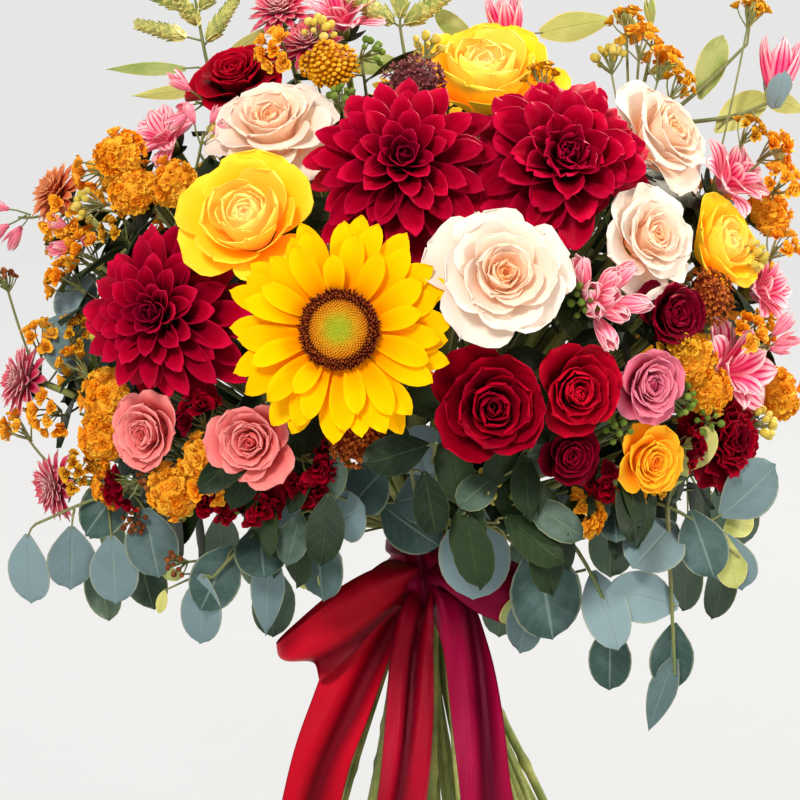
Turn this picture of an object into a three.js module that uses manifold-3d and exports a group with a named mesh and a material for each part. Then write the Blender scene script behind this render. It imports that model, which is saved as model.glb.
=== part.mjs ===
// Mixed flower bouquet, hand tied with a satin ribbon and standing on its splayed stems.
// Millimetres, +Z up, the front of the bouquet looks along -Y.
import * as THREE from "three";
import { mergeVertices } from "three/addons/utils/BufferGeometryUtils.js";
import Module from "manifold-3d";

const wasm = await Module();
wasm.setup();

// Driving sizes.
const tieHeight = 240; // where the lines of the stems meet
const wrapBottom = 200;
const wrapTop = 234;
const bundleRadius = 18.5; // the packed stems at the tie
const drumBottom = 188;
const drumTop = 250;
const drumTaper = 2;
const footRadius = 96;
const footShift = 14; // the feet spread a little further to the right
const footStems = 24;
const gap = 0.35; // clear space between two pieces
const petalThickness = 1.6;
const fullness = 1.12; // petals reach a little past the size read from the front
const skirtTop = 290; // leaves below this height hang
const leafSag = 0.7;
const longLeaf = 52; // leaves from this length on bend twice
const twigRadius = 1.7;
const leafTries = 18;
const leafPush = 5;
const leafDrop = 4;
const tolerance = 0.1; // corners closer to a plane than this go
const ribbonWidth = 38;
const ribbonThickness = 0.9;

// The front view that the spots below are given in.
const viewRange = 1400;
const viewCentre = 313;
const viewTilt = THREE.MathUtils.degToRad(10);

const tie = new THREE.Vector3(0, 0, tieHeight);

// Small helpers.
function seeded(seed) {
  let state = seed * 7919 + 12345;
  return () => {
    state = (state * 1103515245 + 12345) % 2147483648;
    return state / 2147483648;
  };
}

function vec(x, y, z) {
  return new THREE.Vector3(x, y, z);
}

function radians(angle) {
  return THREE.MathUtils.degToRad(angle);
}

// A spot as it is seen from the front: across and up on the plane of the axis,
// and its depth behind (plus) or before (minus) that plane.
function seen(across, up, depth) {
  const spread = (viewRange + depth) / viewRange;
  const rise = (up - viewCentre) * spread;
  const z = viewCentre + (rise - depth * Math.sin(viewTilt)) / Math.cos(viewTilt);
  return vec(across * spread, depth, z);
}

// A direction turned to the right of the front and tipped up from level.
function facing(turn, tip) {
  const level = Math.cos(radians(tip));
  return vec(
    Math.sin(radians(turn)) * level,
    -Math.cos(radians(turn)) * level,
    Math.sin(radians(tip)),
  );
}

function signedVolume(points, faces) {
  const cross = vec(0, 0, 0);
  let sum = 0;
  for (const [a, b, c] of faces) {
    cross.crossVectors(points[b], points[c]);
    sum += points[a].dot(cross) / 6;
  }
  return sum;
}

// A closed body from corner points and triangles.
function solid(points, faces) {
  const turned = signedVolume(points, faces) < 0;
  const index = turned ? faces.map(([a, b, c]) => [a, c, b]) : faces;
  const raw = new THREE.BufferGeometry();
  raw.setAttribute(
    "position",
    new THREE.Float32BufferAttribute(points.flatMap((p) => [p.x, p.y, p.z]), 3),
  );
  raw.setIndex(index.flat());
  const clean = mergeVertices(raw, 1e-4);
  const mesh = new wasm.Mesh({
    numProp: 3,
    vertProperties: new Float32Array(clean.attributes.position.array),
    triVerts: new Uint32Array(clean.index.array),
  });
  return new wasm.Manifold(mesh);
}

// A closed skin over a row of rings; a ring of one point closes to a tip.
function skin(rings) {
  const points = [];
  const starts = [];
  for (const ring of rings) {
    starts.push(points.length);
    points.push(...ring);
  }
  const faces = [];
  for (let i = 0; i + 1 < rings.length; i += 1) {
    const a = starts[i];
    const b = starts[i + 1];
    const fromTip = rings[i].length === 1;
    const toTip = rings[i + 1].length === 1;
    const count = Math.max(rings[i].length, rings[i + 1].length);
    for (let k = 0; k < count; k += 1) {
      const next = (k + 1) % count;
      if (fromTip) {
        faces.push([a, b + next, b + k]);
      } else if (toTip) {
        faces.push([a + k, a + next, b]);
      } else {
        faces.push([a + k, a + next, b + next]);
        faces.push([a + k, b + next, b + k]);
      }
    }
  }
  const last = rings.length - 1;
  for (let k = 1; k + 1 < rings[0].length; k += 1) {
    faces.push([starts[0], starts[0] + k + 1, starts[0] + k]);
  }
  for (let k = 1; k + 1 < rings[last].length; k += 1) {
    faces.push([starts[last], starts[last] + k, starts[last] + k + 1]);
  }
  return solid(points, faces);
}

function fuse(bodies) {
  return bodies.length === 1 ? bodies[0] : wasm.Manifold.union(bodies);
}

// The largest shell alone: loose scraps go and sealed hollows fill.
function mainBody(body) {
  const shells = body.decompose();
  let best = shells[0];
  for (const shell of shells) {
    if (shell.volume() > best.volume()) {
      best = shell;
    }
  }
  return best;
}

// A round stalk through a row of points.
function tube(path, radii, sides) {
  const rings = [];
  const first = path[1].clone().sub(path[0]).normalize();
  const spare = Math.abs(first.z) > 0.8 ? vec(1, 0, 0) : vec(0, 0, 1);
  const side = vec(0, 0, 0).crossVectors(first, spare).normalize();
  path.forEach((point, i) => {
    const before = path[Math.max(i - 1, 0)];
    const after = path[Math.min(i + 1, path.length - 1)];
    const along = after.clone().sub(before).normalize();
    side.addScaledVector(along, -side.dot(along)).normalize();
    const up = vec(0, 0, 0).crossVectors(along, side);
    const radius = Array.isArray(radii) ? radii[i] : radii;
    const ring = [];
    for (let k = 0; k < sides; k += 1) {
      const angle = (2 * Math.PI * k) / sides;
      ring.push(
        point
          .clone()
          .addScaledVector(side, Math.cos(angle) * radius)
          .addScaledVector(up, Math.sin(angle) * radius),
      );
    }
    rings.push(ring);
  });
  return skin(rings);
}

// A leaf whose narrow stalk starts at base and whose blade has its middle at centre.
// With sag, a blade that lies lower than its base turns towards hanging straight down.
function leaf(base, centre, length, width, look, roll, sag) {
  const along = centre.clone().sub(base).normalize();
  const hang = sag * THREE.MathUtils.clamp((base.z - centre.z) / (length * 0.5), 0, 1);
  along.multiplyScalar(1 - hang).add(vec(0, 0, -hang)).normalize();
  const side = vec(0, 0, 0).crossVectors(along, look).normalize();
  side.applyAxisAngle(along, roll);
  const top = vec(0, 0, 0).crossVectors(side, along).normalize();
  const heel = centre.clone().addScaledVector(along, -length / 2);
  const spot = (t, s, h) =>
    heel
      .clone()
      .addScaledVector(along, t * length)
      .addScaledVector(side, s)
      .addScaledVector(top, h);
  const ring = (t, half, thick, lift) => [
    spot(t, -half, lift),
    spot(t, 0, thick),
    spot(t, half, lift),
    spot(t, 0, -thick),
  ];
  const rows = [[base], ring(0, 1.1, 0.7, 0)];
  if (length >= longLeaf) {
    rows.push(ring(0.34, width / 2, 0.7, width * 0.07));
    rows.push(ring(0.72, width * 0.36, 0.6, width * 0.05));
  } else {
    rows.push(ring(0.45, width / 2, 0.8, width * 0.07));
  }
  rows.push([spot(1, 0, -length * 0.05)]);
  return skin(rows);
}

// Flower forms. Each layer is count, reach, rise, root, curve and breadth, as shares
// of the flower's radius; breadth 0 gives a pointed petal without shoulders.
const forms = {
  sunflower: {
    root: 0.3,
    valley: 0.58,
    shoulder: 0.76,
    layers: [
      [17, 1.0, 0.02, -0.1, 1.3, 0.86],
      [17, 0.88, 0.12, 0.0, 1.2, 0],
    ],
  },
  dahlia: {
    root: 0.2,
    valley: 0.6,
    shoulder: 0.8,
    layers: [
      [10, 1.0, 0.0, -0.32, 1.5, 0.84],
      [8, 0.84, 0.22, -0.18, 1.6, 0],
      [6, 0.6, 0.36, -0.04, 1.7, 0],
      [4, 0.34, 0.42, 0.1, 1.7, 0],
    ],
  },
  rose: {
    root: 0.22,
    valley: 0.8,
    shoulder: 0.92,
    layers: [
      [5, 1.03, 0.08, -0.42, 1.5, 0.8],
      [5, 0.8, 0.32, -0.25, 1.9, 0.78],
      [4, 0.52, 0.44, -0.06, 1.9, 0],
      [3, 0.26, 0.46, 0.12, 1.6, 0],
    ],
  },
  small: {
    root: 0.24,
    valley: 0.76,
    shoulder: 0.9,
    layers: [
      [5, 1.04, 0.12, -0.46, 1.7, 0.78],
      [4, 0.7, 0.4, -0.2, 1.9, 0],
      [3, 0.36, 0.48, 0.08, 1.6, 0],
    ],
  },
  ranunculus: {
    root: 0.22,
    valley: 0.82,
    shoulder: 0.93,
    layers: [
      [6, 1.0, 0.1, -0.42, 1.7, 0.76],
      [5, 0.76, 0.34, -0.24, 2.0, 0],
      [4, 0.5, 0.44, -0.04, 1.9, 0],
      [3, 0.24, 0.46, 0.14, 1.6, 0],
    ],
  },
  carnation: {
    root: 0.2,
    valley: 0.74,
    shoulder: 0.9,
    layers: [
      [8, 1.0, 0.08, -0.42, 1.5, 0],
      [7, 0.76, 0.36, -0.22, 1.8, 0],
      [5, 0.44, 0.5, 0.0, 1.7, 0],
    ],
  },
  mum: {
    root: 0.2,
    valley: 0.42,
    shoulder: 0.7,
    layers: [
      [10, 1.0, 0.1, -0.3, 1.3, 0],
      [7, 0.7, 0.42, -0.1, 1.4, 0],
      [3, 0.32, 0.5, 0.12, 1.4, 0],
    ],
  },
  alstroemeria: {
    root: 0.16,
    valley: 0.42,
    shoulder: 0.74,
    layers: [
      [3, 1.0, 0.2, -0.7, 0.75, 0.5],
      [3, 0.9, 0.36, -0.5, 0.8, 0],
    ],
  },
};

// Joins two rings of points with different counts by a band of triangles.
function zip(faces, lower, upper) {
  const start = lower[0].angle;
  const turn = (angle) => ((angle - start) % (2 * Math.PI) + 2 * Math.PI) % (2 * Math.PI);
  const under = [...lower].sort((p, q) => turn(p.angle) - turn(q.angle));
  const over = [...upper].sort((p, q) => turn(p.angle) - turn(q.angle));
  let i = 0;
  let j = 0;
  while (i < under.length || j < over.length) {
    const nextUnder = i + 1 < under.length ? turn(under[i + 1].angle) : 2 * Math.PI;
    const nextOver = j + 1 < over.length ? turn(over[j + 1].angle) : 2 * Math.PI + 0.01;
    const a = under[i % under.length].index;
    const b = over[j % over.length].index;
    if (i < under.length && (nextUnder <= nextOver || j >= over.length)) {
      faces.push([a, under[(i + 1) % under.length].index, b]);
      i += 1;
    } else {
      faces.push([a, over[(j + 1) % over.length].index, b]);
      j += 1;
    }
  }
}

// A whole flower as one skin that folds out and back for every layer of petals.
function flower(kind, radius, seed, thin) {
  const random = seeded(seed);
  const form = forms[kind];
  const thick = Math.min(petalThickness, 0.5 + radius * 0.045);
  const points = [];
  const faces = [];
  const put = (r, angle, z) => {
    points.push(vec(Math.cos(angle) * r, Math.sin(angle) * r, z));
    return { index: points.length - 1, angle };
  };
  const base = put(0, 0, form.layers[0][3] * radius - 3.4);
  let below = null;
  form.layers.forEach((layer, j) => {
    const [wanted, reach, rise, root, curve, breadth] = layer;
    const count = thin ? Math.max(3, Math.round(wanted * 0.72)) : wanted;
    const half = Math.PI / count;
    const phase = j * 1.1 + random();
    const tipRadius = reach * radius;
    const level = (share) => (root + (rise - root) * share ** curve) * radius;
    const rootRadius = form.root * tipRadius;
    const lower = [];
    const upper = [];
    const valleys = [];
    for (let k = 0; k < count; k += 1) {
      const angle = phase + 2 * half * k + half;
      lower.push(put(rootRadius, angle, level(form.root) - thick * 0.6));
      upper.push(put(rootRadius * 0.92, angle, level(form.root) + thick * 0.6));
      valleys.push(put(form.valley * tipRadius, angle, level(form.valley)));
    }
    if (below) {
      zip(faces, below, lower);
    } else {
      lower.forEach((p, k) => faces.push([base.index, lower[(k + 1) % count].index, p.index]));
    }
    for (let k = 0; k < count; k += 1) {
      const before = (k + count - 1) % count;
      const angle = phase + 2 * half * k;
      const lift = (random() - 0.5) * 0.08 * radius;
      const share = (form.valley + form.shoulder) / 2;
      const out = tipRadius * (0.96 + random() * 0.04);
      const tip = put(out, angle + (random() - 0.5) * half * 0.4, level(1) + lift);
      const rim = [valleys[before].index, tip.index, valleys[k].index];
      let top = tip.index;
      let under = 0;
      if (breadth > 0) {
        const steep = Math.atan(((rise - root) * curve) / reach);
        const wide = form.shoulder * tipRadius;
        const edge = level(form.shoulder) + 0.04 * radius + lift * 0.5;
        rim.splice(1, 0, put(wide, angle - half * breadth, edge).index);
        rim.splice(3, 0, put(wide, angle + half * breadth, edge).index);
        const inward = share * tipRadius - Math.sin(steep) * thick;
        top = put(inward, angle, level(share) + Math.cos(steep) * thick - 0.02 * radius).index;
        under = put(share * tipRadius, angle, level(share) - 0.03 * radius).index;
      } else {
        const along = (share - form.root) / (1 - form.root);
        const chord = level(form.root) + (level(1) + lift - level(form.root)) * along;
        const floor = Math.min(level(share), chord - thick) - 0.02 * radius;
        under = put(share * tipRadius, angle, floor).index;
      }
      for (let e = 0; e + 1 < rim.length; e += 1) {
        faces.push([under, rim[e + 1], rim[e]]);
        if (top !== rim[e] && top !== rim[e + 1]) {
          faces.push([top, rim[e], rim[e + 1]]);
        }
      }
      faces.push([under, lower[before].index, lower[k].index]);
      faces.push([under, rim[0], lower[before].index]);
      faces.push([under, lower[k].index, rim[rim.length - 1]]);
      faces.push([top, upper[k].index, upper[before].index]);
      faces.push([top, upper[before].index, rim[0]]);
      faces.push([top, rim[rim.length - 1], upper[k].index]);
    }
    below = upper;
  });
  const top = put(0, 0, (form.layers[form.layers.length - 1][3] + 0.12) * radius + thick);
  below.forEach((p, k) => faces.push([p.index, below[(k + 1) % below.length].index, top.index]));
  return solid(points, faces);
}

// A head of many pointed florets round a small core.
function floretHead(radius, fine, seed) {
  const random = seeded(seed);
  const ball = new THREE.IcosahedronGeometry(radius * 0.8, fine);
  const place = ball.attributes.position;
  const points = [];
  const faces = [];
  const flat = (p) => vec(p.x, p.y, p.z * (p.z < 0 ? 0.5 : 0.78));
  for (let i = 0; i < place.count; i += 3) {
    const corners = [0, 1, 2].map((k) => vec(0, 0, 0).fromBufferAttribute(place, i + k));
    const peak = corners[0].clone().add(corners[1]).add(corners[2]);
    peak.setLength(radius * (0.95 + random() * 0.1));
    const start = points.length;
    points.push(...corners.map(flat), flat(peak));
    faces.push([start, start + 1, start + 3]);
    faces.push([start + 1, start + 2, start + 3]);
    faces.push([start + 2, start, start + 3]);
  }
  return solid(points, faces);
}

// A long pointed bud with a waist of points.
function bud(radius, length, sides) {
  const ring = (r, z, turn) => {
    const out = [];
    for (let k = 0; k < sides; k += 1) {
      const angle = (2 * Math.PI * k) / sides + turn;
      out.push(vec(Math.cos(angle) * r, Math.sin(angle) * r, z));
    }
    return out;
  };
  return skin([
    ring(radius * 0.4, -length * 0.45, 0),
    ring(radius, -length * 0.05, 0.2),
    [vec(0, 0, length * 0.55)],
  ]);
}

// Turns a body that looks along +Z to a new direction and sets it at a spot.
function set(body, spot, look, spin) {
  const aim = new THREE.Quaternion().setFromUnitVectors(vec(0, 0, 1), look);
  const roll = new THREE.Quaternion().setFromAxisAngle(vec(0, 0, 1), spin);
  const matrix = new THREE.Matrix4().compose(spot, aim.multiply(roll), vec(1, 1, 1));
  return body.transform(Array.from(matrix.elements));
}

// Flowers and heads. Each head is across, up, depth, size, turn and tip.
const crimson = 0x8e0616;
const plan = [
  ["sunflower_petals", "sunflower", 0xffc60a, [[-49, 354, -175, 113, -6, 14]]],
  ["dahlia_left", "dahlia", 0x9c0818, [[-155, 363, -108, 98, -26, 12]]],
  ["dahlia_top", "dahlia", 0xa00a1a, [[-11, 453, -122, 100, 0, 36]]],
  ["dahlia_right", "dahlia", 0x980818, [[83, 453, -108, 100, 14, 34]]],
  ["rose_white_centre", "rose", 0xfff1dc, [[44, 386, -172, 84, 8, 22]]],
  ["rose_white_upper_left", "rose", 0xfff0da, [[-87, 474, -62, 76, -14, 52]]],
  ["rose_white_upper_right", "rose", 0xffefd8, [[139, 466, -48, 70, 52, 34]]],
  ["rose_white_right", "rose", 0xffefda, [[132, 408, -106, 62, 34, 20]]],
  ["ranunculus_left", "ranunculus", 0xf9c423, [[-102, 421, -112, 74, -14, 34]]],
  ["ranunculus_top", "ranunculus", 0xf6bd1c, [[37, 505, -22, 80, 4, 58]]],
  ["ranunculus_right", "ranunculus", 0xf8c028, [[176, 404, -56, 54, 50, 24]]],
  ["rose_crimson_large", "rose", crimson, [[41, 309, -166, 66, 4, 8]]],
  ["rose_red", "small", 0xc4101c, [[92, 318, -152, 52, 20, 6]]],
  ["rose_crimson_small", "small", 0x6a0512, [[87, 280, -146, 34, 20, 2]]],
  ["rose_crimson_top", "rose", crimson, [[-112, 499, -18, 58, -24, 52]]],
  ["rose_crimson_right", "small", 0x74060f, [[147, 361, -112, 44, 34, 8]]],
  ["carnation_right", "carnation", 0xa1081c, [[182, 289, -74, 52, 46, 6]]],
  ["rose_pink_left", "small", 0xf06a74, [[-161, 294, -104, 48, -32, 2]]],
  ["rose_pink_middle", "small", 0xee6672, [[-101, 289, -150, 48, -14, 4]]],
  ["rose_pink_right", "small", 0xd36a98, [[133, 322, -128, 46, 26, 6]]],
  ["rose_orange", "small", 0xf59a1c, [[134, 277, -124, 44, 30, 0]]],
  ["alstroemeria_right_high", "alstroemeria", 0xf0a0ac, [[186, 445, -26, 46, 54, 34]]],
  ["alstroemeria_right_low", "alstroemeria", 0xf2a8b0, [[188, 330, -76, 52, 40, 14]]],
  ["alstroemeria_right_far", "alstroemeria", 0xee98ac, [[207, 379, -36, 40, 60, 18]]],
  ["alstroemeria_top", "alstroemeria", 0xf2a4b2, [[-47, 540, 12, 44, -12, 62]]],
  ["alstroemeria_left", "alstroemeria", 0xeea0b0, [[-152, 470, -16, 36, -34, 40]]],
  ["mum_left", "mum", 0xb0206a, [[-238, 325, -28, 40, -64, 16]]],
  ["mum_lower_left", "mum", 0xb42468, [[-221, 261, -40, 36, -56, -4]]],
  ["mum_upper_left", "mum", 0xe26a5c, [[-215, 436, -18, 36, -56, 34]]],
  ["mums_top", "mum", 0xb41e62, [[-82, 540, 2, 34, -18, 58], [-66, 521, -12, 36, -12, 54]]],
  [
    "celosia_upper_left",
    "floret",
    0xe8851c,
    [[-177, 458, -54, 30, -34, 40], [-169, 436, -60, 31, -34, 36], [-146, 441, -66, 30, -26, 40]],
  ],
  [
    "celosia_left",
    "floret",
    0xe98a1e,
    [
      [-188, 315, -78, 34, -44, 12],
      [-191, 291, -78, 32, -44, 2],
      [-150, 258, -108, 32, -34, -6],
      [-130, 277, -122, 30, -28, 0],
    ],
  ],
  ["celosia_right", "floret", 0xe6841a, [[161, 337, -104, 30, 34, 12], [172, 318, -98, 28, 36, 8]]],
  ["celosia_far_right", "floret", 0xd86e1a, [[213, 316, -34, 34, 60, 6]]],
  ["marigold_right", "floret", 0xf0941e, [[205, 424, -2, 32, 66, 28]]],
  ["bud_cluster", "buds", 0xf0b4b4, [[106, 372, -138, 46, 22, 16]]],
  ["yarrow_top", "floret", 0xe2a01c, [[-53, 509, -36, 34, -8, 52]]],
  ["sedum_front", "floret", 0xa2502a, [[-39, 291, -164, 32, -6, 4]]],
  ["sedum_right", "floret", 0x9c4c2c, [[171, 375, -86, 32, 44, 20]]],
  ["sedum_top", "floret", 0x8c4658, [[-4, 500, -58, 34, 0, 54]]],
];

// Heads at the back and on the crown: azimuth from the front, elevation, reach, size.
const backPlan = [
  ["dahlias_back", "dahlia", 0x960818, [[166, 37, 226, 102], [193, 42, 228, 102]]],
  ["roses_white_back", "rose", 0xfff0dc, [[142, 60, 246, 78], [121, 49, 238, 76]]],
  ["roses_crimson_back", "rose", crimson, [[218, 62, 248, 76], [232, 47, 240, 76]]],
  ["ranunculus_back", "ranunculus", 0xf6c024, [[178, 64, 250, 74], [183, 77, 256, 62]]],
  ["roses_pink_back", "small", 0xea6c80, [[226, 22, 218, 62], [246, 30, 222, 62]]],
  ["roses_orange_back", "small", 0xf29a20, [[134, 22, 216, 62], [114, 29, 218, 60]]],
  ["celosia_back", "floret", 0xe6861c, [[181, 13, 208, 42], [171, 11, 208, 40], [191, 14, 208, 40]]],
  ["mum_back", "mum", 0xb02264, [[207, 13, 212, 46]]],
];

function around(azimuth, elevation, reach) {
  return facing(azimuth, elevation).multiplyScalar(reach).add(tie);
}

const nodes = [];
for (const [name, kind, tint, list] of plan) {
  const heads = list.map(([across, up, depth, size, turn, tip]) => ({
    spot: seen(across, up, depth),
    radius: (size / 2) * fullness,
    look: facing(turn, tip),
  }));
  nodes.push({ name, kind, tint, heads, thin: heads.length > 1 });
}
for (const [name, kind, tint, list] of backPlan) {
  const heads = list.map(([azimuth, elevation, reach, size]) => ({
    spot: around(azimuth, elevation, reach),
    radius: size / 2,
    look: facing(azimuth, Math.min(elevation * 1.05, 86)),
  }));
  nodes.push({ name, kind, tint, heads, thin: true });
}
for (const node of nodes) {
  for (const head of node.heads) {
    const line = head.spot.clone().sub(tie);
    head.node = node;
    head.ray = line.clone().normalize();
    head.half = Math.atan((head.radius * 1.04) / line.length());
  }
}
const allHeads = nodes.flatMap((node) => node.heads);

// Cuts a body to the space that belongs to one head, by planes through the tie.
function keepToCell(body, head) {
  let out = body;
  for (const other of allHeads) {
    const angle = head.ray.angleTo(other.ray);
    if (other.node === head.node || angle > (head.half + other.half) * 1.3 + 0.04) {
      continue;
    }
    const share = head.radius / (head.radius + other.radius);
    const between = head.spot.clone().lerp(other.spot, share).sub(tie).normalize();
    const axis = vec(0, 0, 0).crossVectors(head.ray, other.ray).normalize();
    const normal = vec(0, 0, 0).crossVectors(between, axis).normalize();
    if (normal.dot(head.ray) < 0) {
      normal.negate();
    }
    out = out.trimByPlane(normal.toArray(), normal.dot(tie) + gap / 2);
  }
  return out;
}

// A tight bunch of buds among small green leaves.
function budCluster(radius, seed) {
  const random = seeded(seed);
  const parts = [];
  for (let k = 0; k < 6; k += 1) {
    const angle = k * 1.257;
    const lean = k === 5 ? 0 : 0.72;
    const look = vec(Math.sin(lean) * Math.cos(angle), Math.sin(lean) * Math.sin(angle), Math.cos(lean));
    const at = look.clone().multiplyScalar(radius * 0.6).add(vec(0, 0, -radius * 0.35));
    parts.push(set(bud(radius * (0.25 + random() * 0.04), radius * 0.95, 4), at, look, k));
  }
  for (let k = 0; k < 2; k += 1) {
    const angle = k * 2.6 + 0.4;
    const at = vec(Math.cos(angle) * radius * 0.62, Math.sin(angle) * radius * 0.62, -radius * 0.1);
    const base = vec(0, 0, -radius * 0.45);
    parts.push(leaf(base, at, radius * 0.75, radius * 0.4, vec(0, 0, 1), 0, 0));
  }
  const core = [];
  for (const [r, z] of [[0.12, -0.6], [0.3, -0.3], [0.12, 0.1]]) {
    const ring = [0, 1, 2, 3].map((k) => vec(Math.cos(k * 1.57) * r, Math.sin(k * 1.57) * r, z));
    core.push(ring.map((p) => p.multiplyScalar(radius)));
  }
  parts.push(skin(core));
  return mainBody(fuse(parts));
}

function headBody(kind, radius, seed, thin) {
  if (kind === "buds") {
    return budCluster(radius, seed);
  }
  if (kind === "floret") {
    return floretHead(radius, 0, seed);
  }
  return flower(kind, radius, seed, thin);
}

// How far behind a head's middle its stem ends.
function seat(kind, radius) {
  if (kind === "buds") {
    return radius * 0.6;
  }
  if (kind === "floret") {
    return radius * 0.42;
  }
  return -forms[kind].layers[0][3] * radius + 3.4;
}

nodes.forEach((node, n) => {
  const pieces = node.heads.map((head, h) => {
    const seed = 11 + n * 17 + h * 5;
    const raw = headBody(node.kind, head.radius, seed, node.thin);
    return keepToCell(set(raw, head.spot, head.look, seed * 0.7), head);
  });
  for (let h = 1; h < node.heads.length; h += 1) {
    const from = node.heads[h - 1];
    const to = node.heads[h];
    const ends = [from, to].map((head) => {
      const depth = (seat(node.kind, head.radius) - 1.5) * 0.8;
      return head.spot.clone().addScaledVector(head.look, -depth);
    });
    pieces.push(tube(ends, 1.5, 3));
  }
  node.body = mainBody(fuse(pieces));
});

// Stems: one to each head from the tie, and below the tie the feet that spread to the floor.
const stemBodies = [];
const fatBodies = [];
for (const node of nodes) {
  for (const head of node.heads.slice(0, 1)) {
    const back = seat(node.kind, head.radius);
    const thick = THREE.MathUtils.clamp(head.radius * 0.05 + 1.0, 1.5, 3.6);
    const start = vec(head.ray.x * 9, head.ray.y * 9, tieHeight - 4 + head.ray.z * 6);
    const end = head.spot.clone().addScaledVector(head.look, -back - gap);
    const path = [start, end];
    if (head.look.angleTo(head.ray) > 0.3) {
      const neck = head.spot.clone().addScaledVector(head.look, -back - 8 - head.radius * 0.3);
      neck.lerp(tie.clone().addScaledVector(head.ray, neck.distanceTo(tie)), 0.4);
      path.splice(1, 0, neck);
    }
    const sides = thick < 3 ? 3 : 4;
    stemBodies.push(tube(path, thick, sides));
    const past = path.map((p) => p.clone());
    past[past.length - 1].addScaledVector(head.look, gap * 1.2);
    fatBodies.push(tube(past, thick + gap * 2, sides));
  }
}

// Any closed geometry of three as a body.
function fromGeometry(geometry) {
  const bare = new THREE.BufferGeometry();
  bare.setAttribute("position", geometry.attributes.position.clone());
  bare.setIndex(geometry.index ? geometry.index.clone() : null);
  const clean = mergeVertices(bare, 1e-4);
  const mesh = new wasm.Mesh({
    numProp: 3,
    vertProperties: new Float32Array(clean.attributes.position.array),
    triVerts: new Uint32Array(clean.index.array),
  });
  return new wasm.Manifold(mesh);
}

const drum = new THREE.CylinderGeometry(bundleRadius - drumTaper, bundleRadius, drumTop - drumBottom, 12);
drum.rotateX(Math.PI / 2);
drum.translate(0, 0, (drumTop + drumBottom) / 2);
stemBodies.push(fromGeometry(drum));

const footRandom = seeded(91);
for (let k = 0; k < footStems; k += 1) {
  const share = Math.sqrt((k + 0.6) / footStems);
  const angle = k * 2.39996;
  const radius = share * footRadius;
  const foot = vec(Math.cos(angle) * radius + footShift, Math.sin(angle) * radius, -6);
  if (k === 0) {
    foot.set(0, 0, -6); // the middle stem ends at the origin
  }
  const thick = 2.2 + footRandom() * 1.2 + (k % 9 === 4 ? 1.2 : 0);
  const inner = vec(-Math.sin(angle), Math.cos(angle), 0).multiplyScalar(share * 12);
  const top = vec(Math.cos(angle), Math.sin(angle), 0).multiplyScalar(share * 4).add(inner);
  top.z = 207;
  stemBodies.push(tube([foot, top], thick, thick > 3 ? 5 : 4));
}

const fatStems = fuse(fatBodies);
let stems = mainBody(fuse(stemBodies).trimByPlane([0, 0, 1], 0));

// The dotted heart of the sunflower, set a little proud of its petals.
const sunHead = allHeads[0];
const discSpot = sunHead.spot.clone().addScaledVector(sunHead.look, sunHead.radius * 0.13);
const discFloor = discSpot.clone().addScaledVector(sunHead.look, 1.4);
const discBody = set(floretHead(sunHead.radius * 0.4, 1, 5), discSpot, sunHead.look, 0.4);
const floor = sunHead.look.dot(discFloor);
const disc = mainBody(discBody.trimByPlane(sunHead.look.toArray(), floor));

// Ribbon: a wrap round the stems, then one bow with its knot, two loops and three tails.
function ringSpots(radius, z, sides) {
  const out = [];
  for (let k = 0; k < sides; k += 1) {
    const angle = (2 * Math.PI * k) / sides;
    out.push(vec(Math.sin(angle) * radius, Math.cos(angle) * radius, z));
  }
  return out;
}
const drumAt = (z) => bundleRadius - (drumTaper * (z - drumBottom)) / (drumTop - drumBottom);
const wrapShell = (extra, low, high) =>
  skin([ringSpots(drumAt(low) + extra, low, 12), ringSpots(drumAt(high) + extra, high, 12)]);
const wrap = wrapShell(gap + 1.4, wrapBottom, wrapTop).subtract(
  wrapShell(gap, wrapBottom - 1, wrapTop + 1),
);

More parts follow.
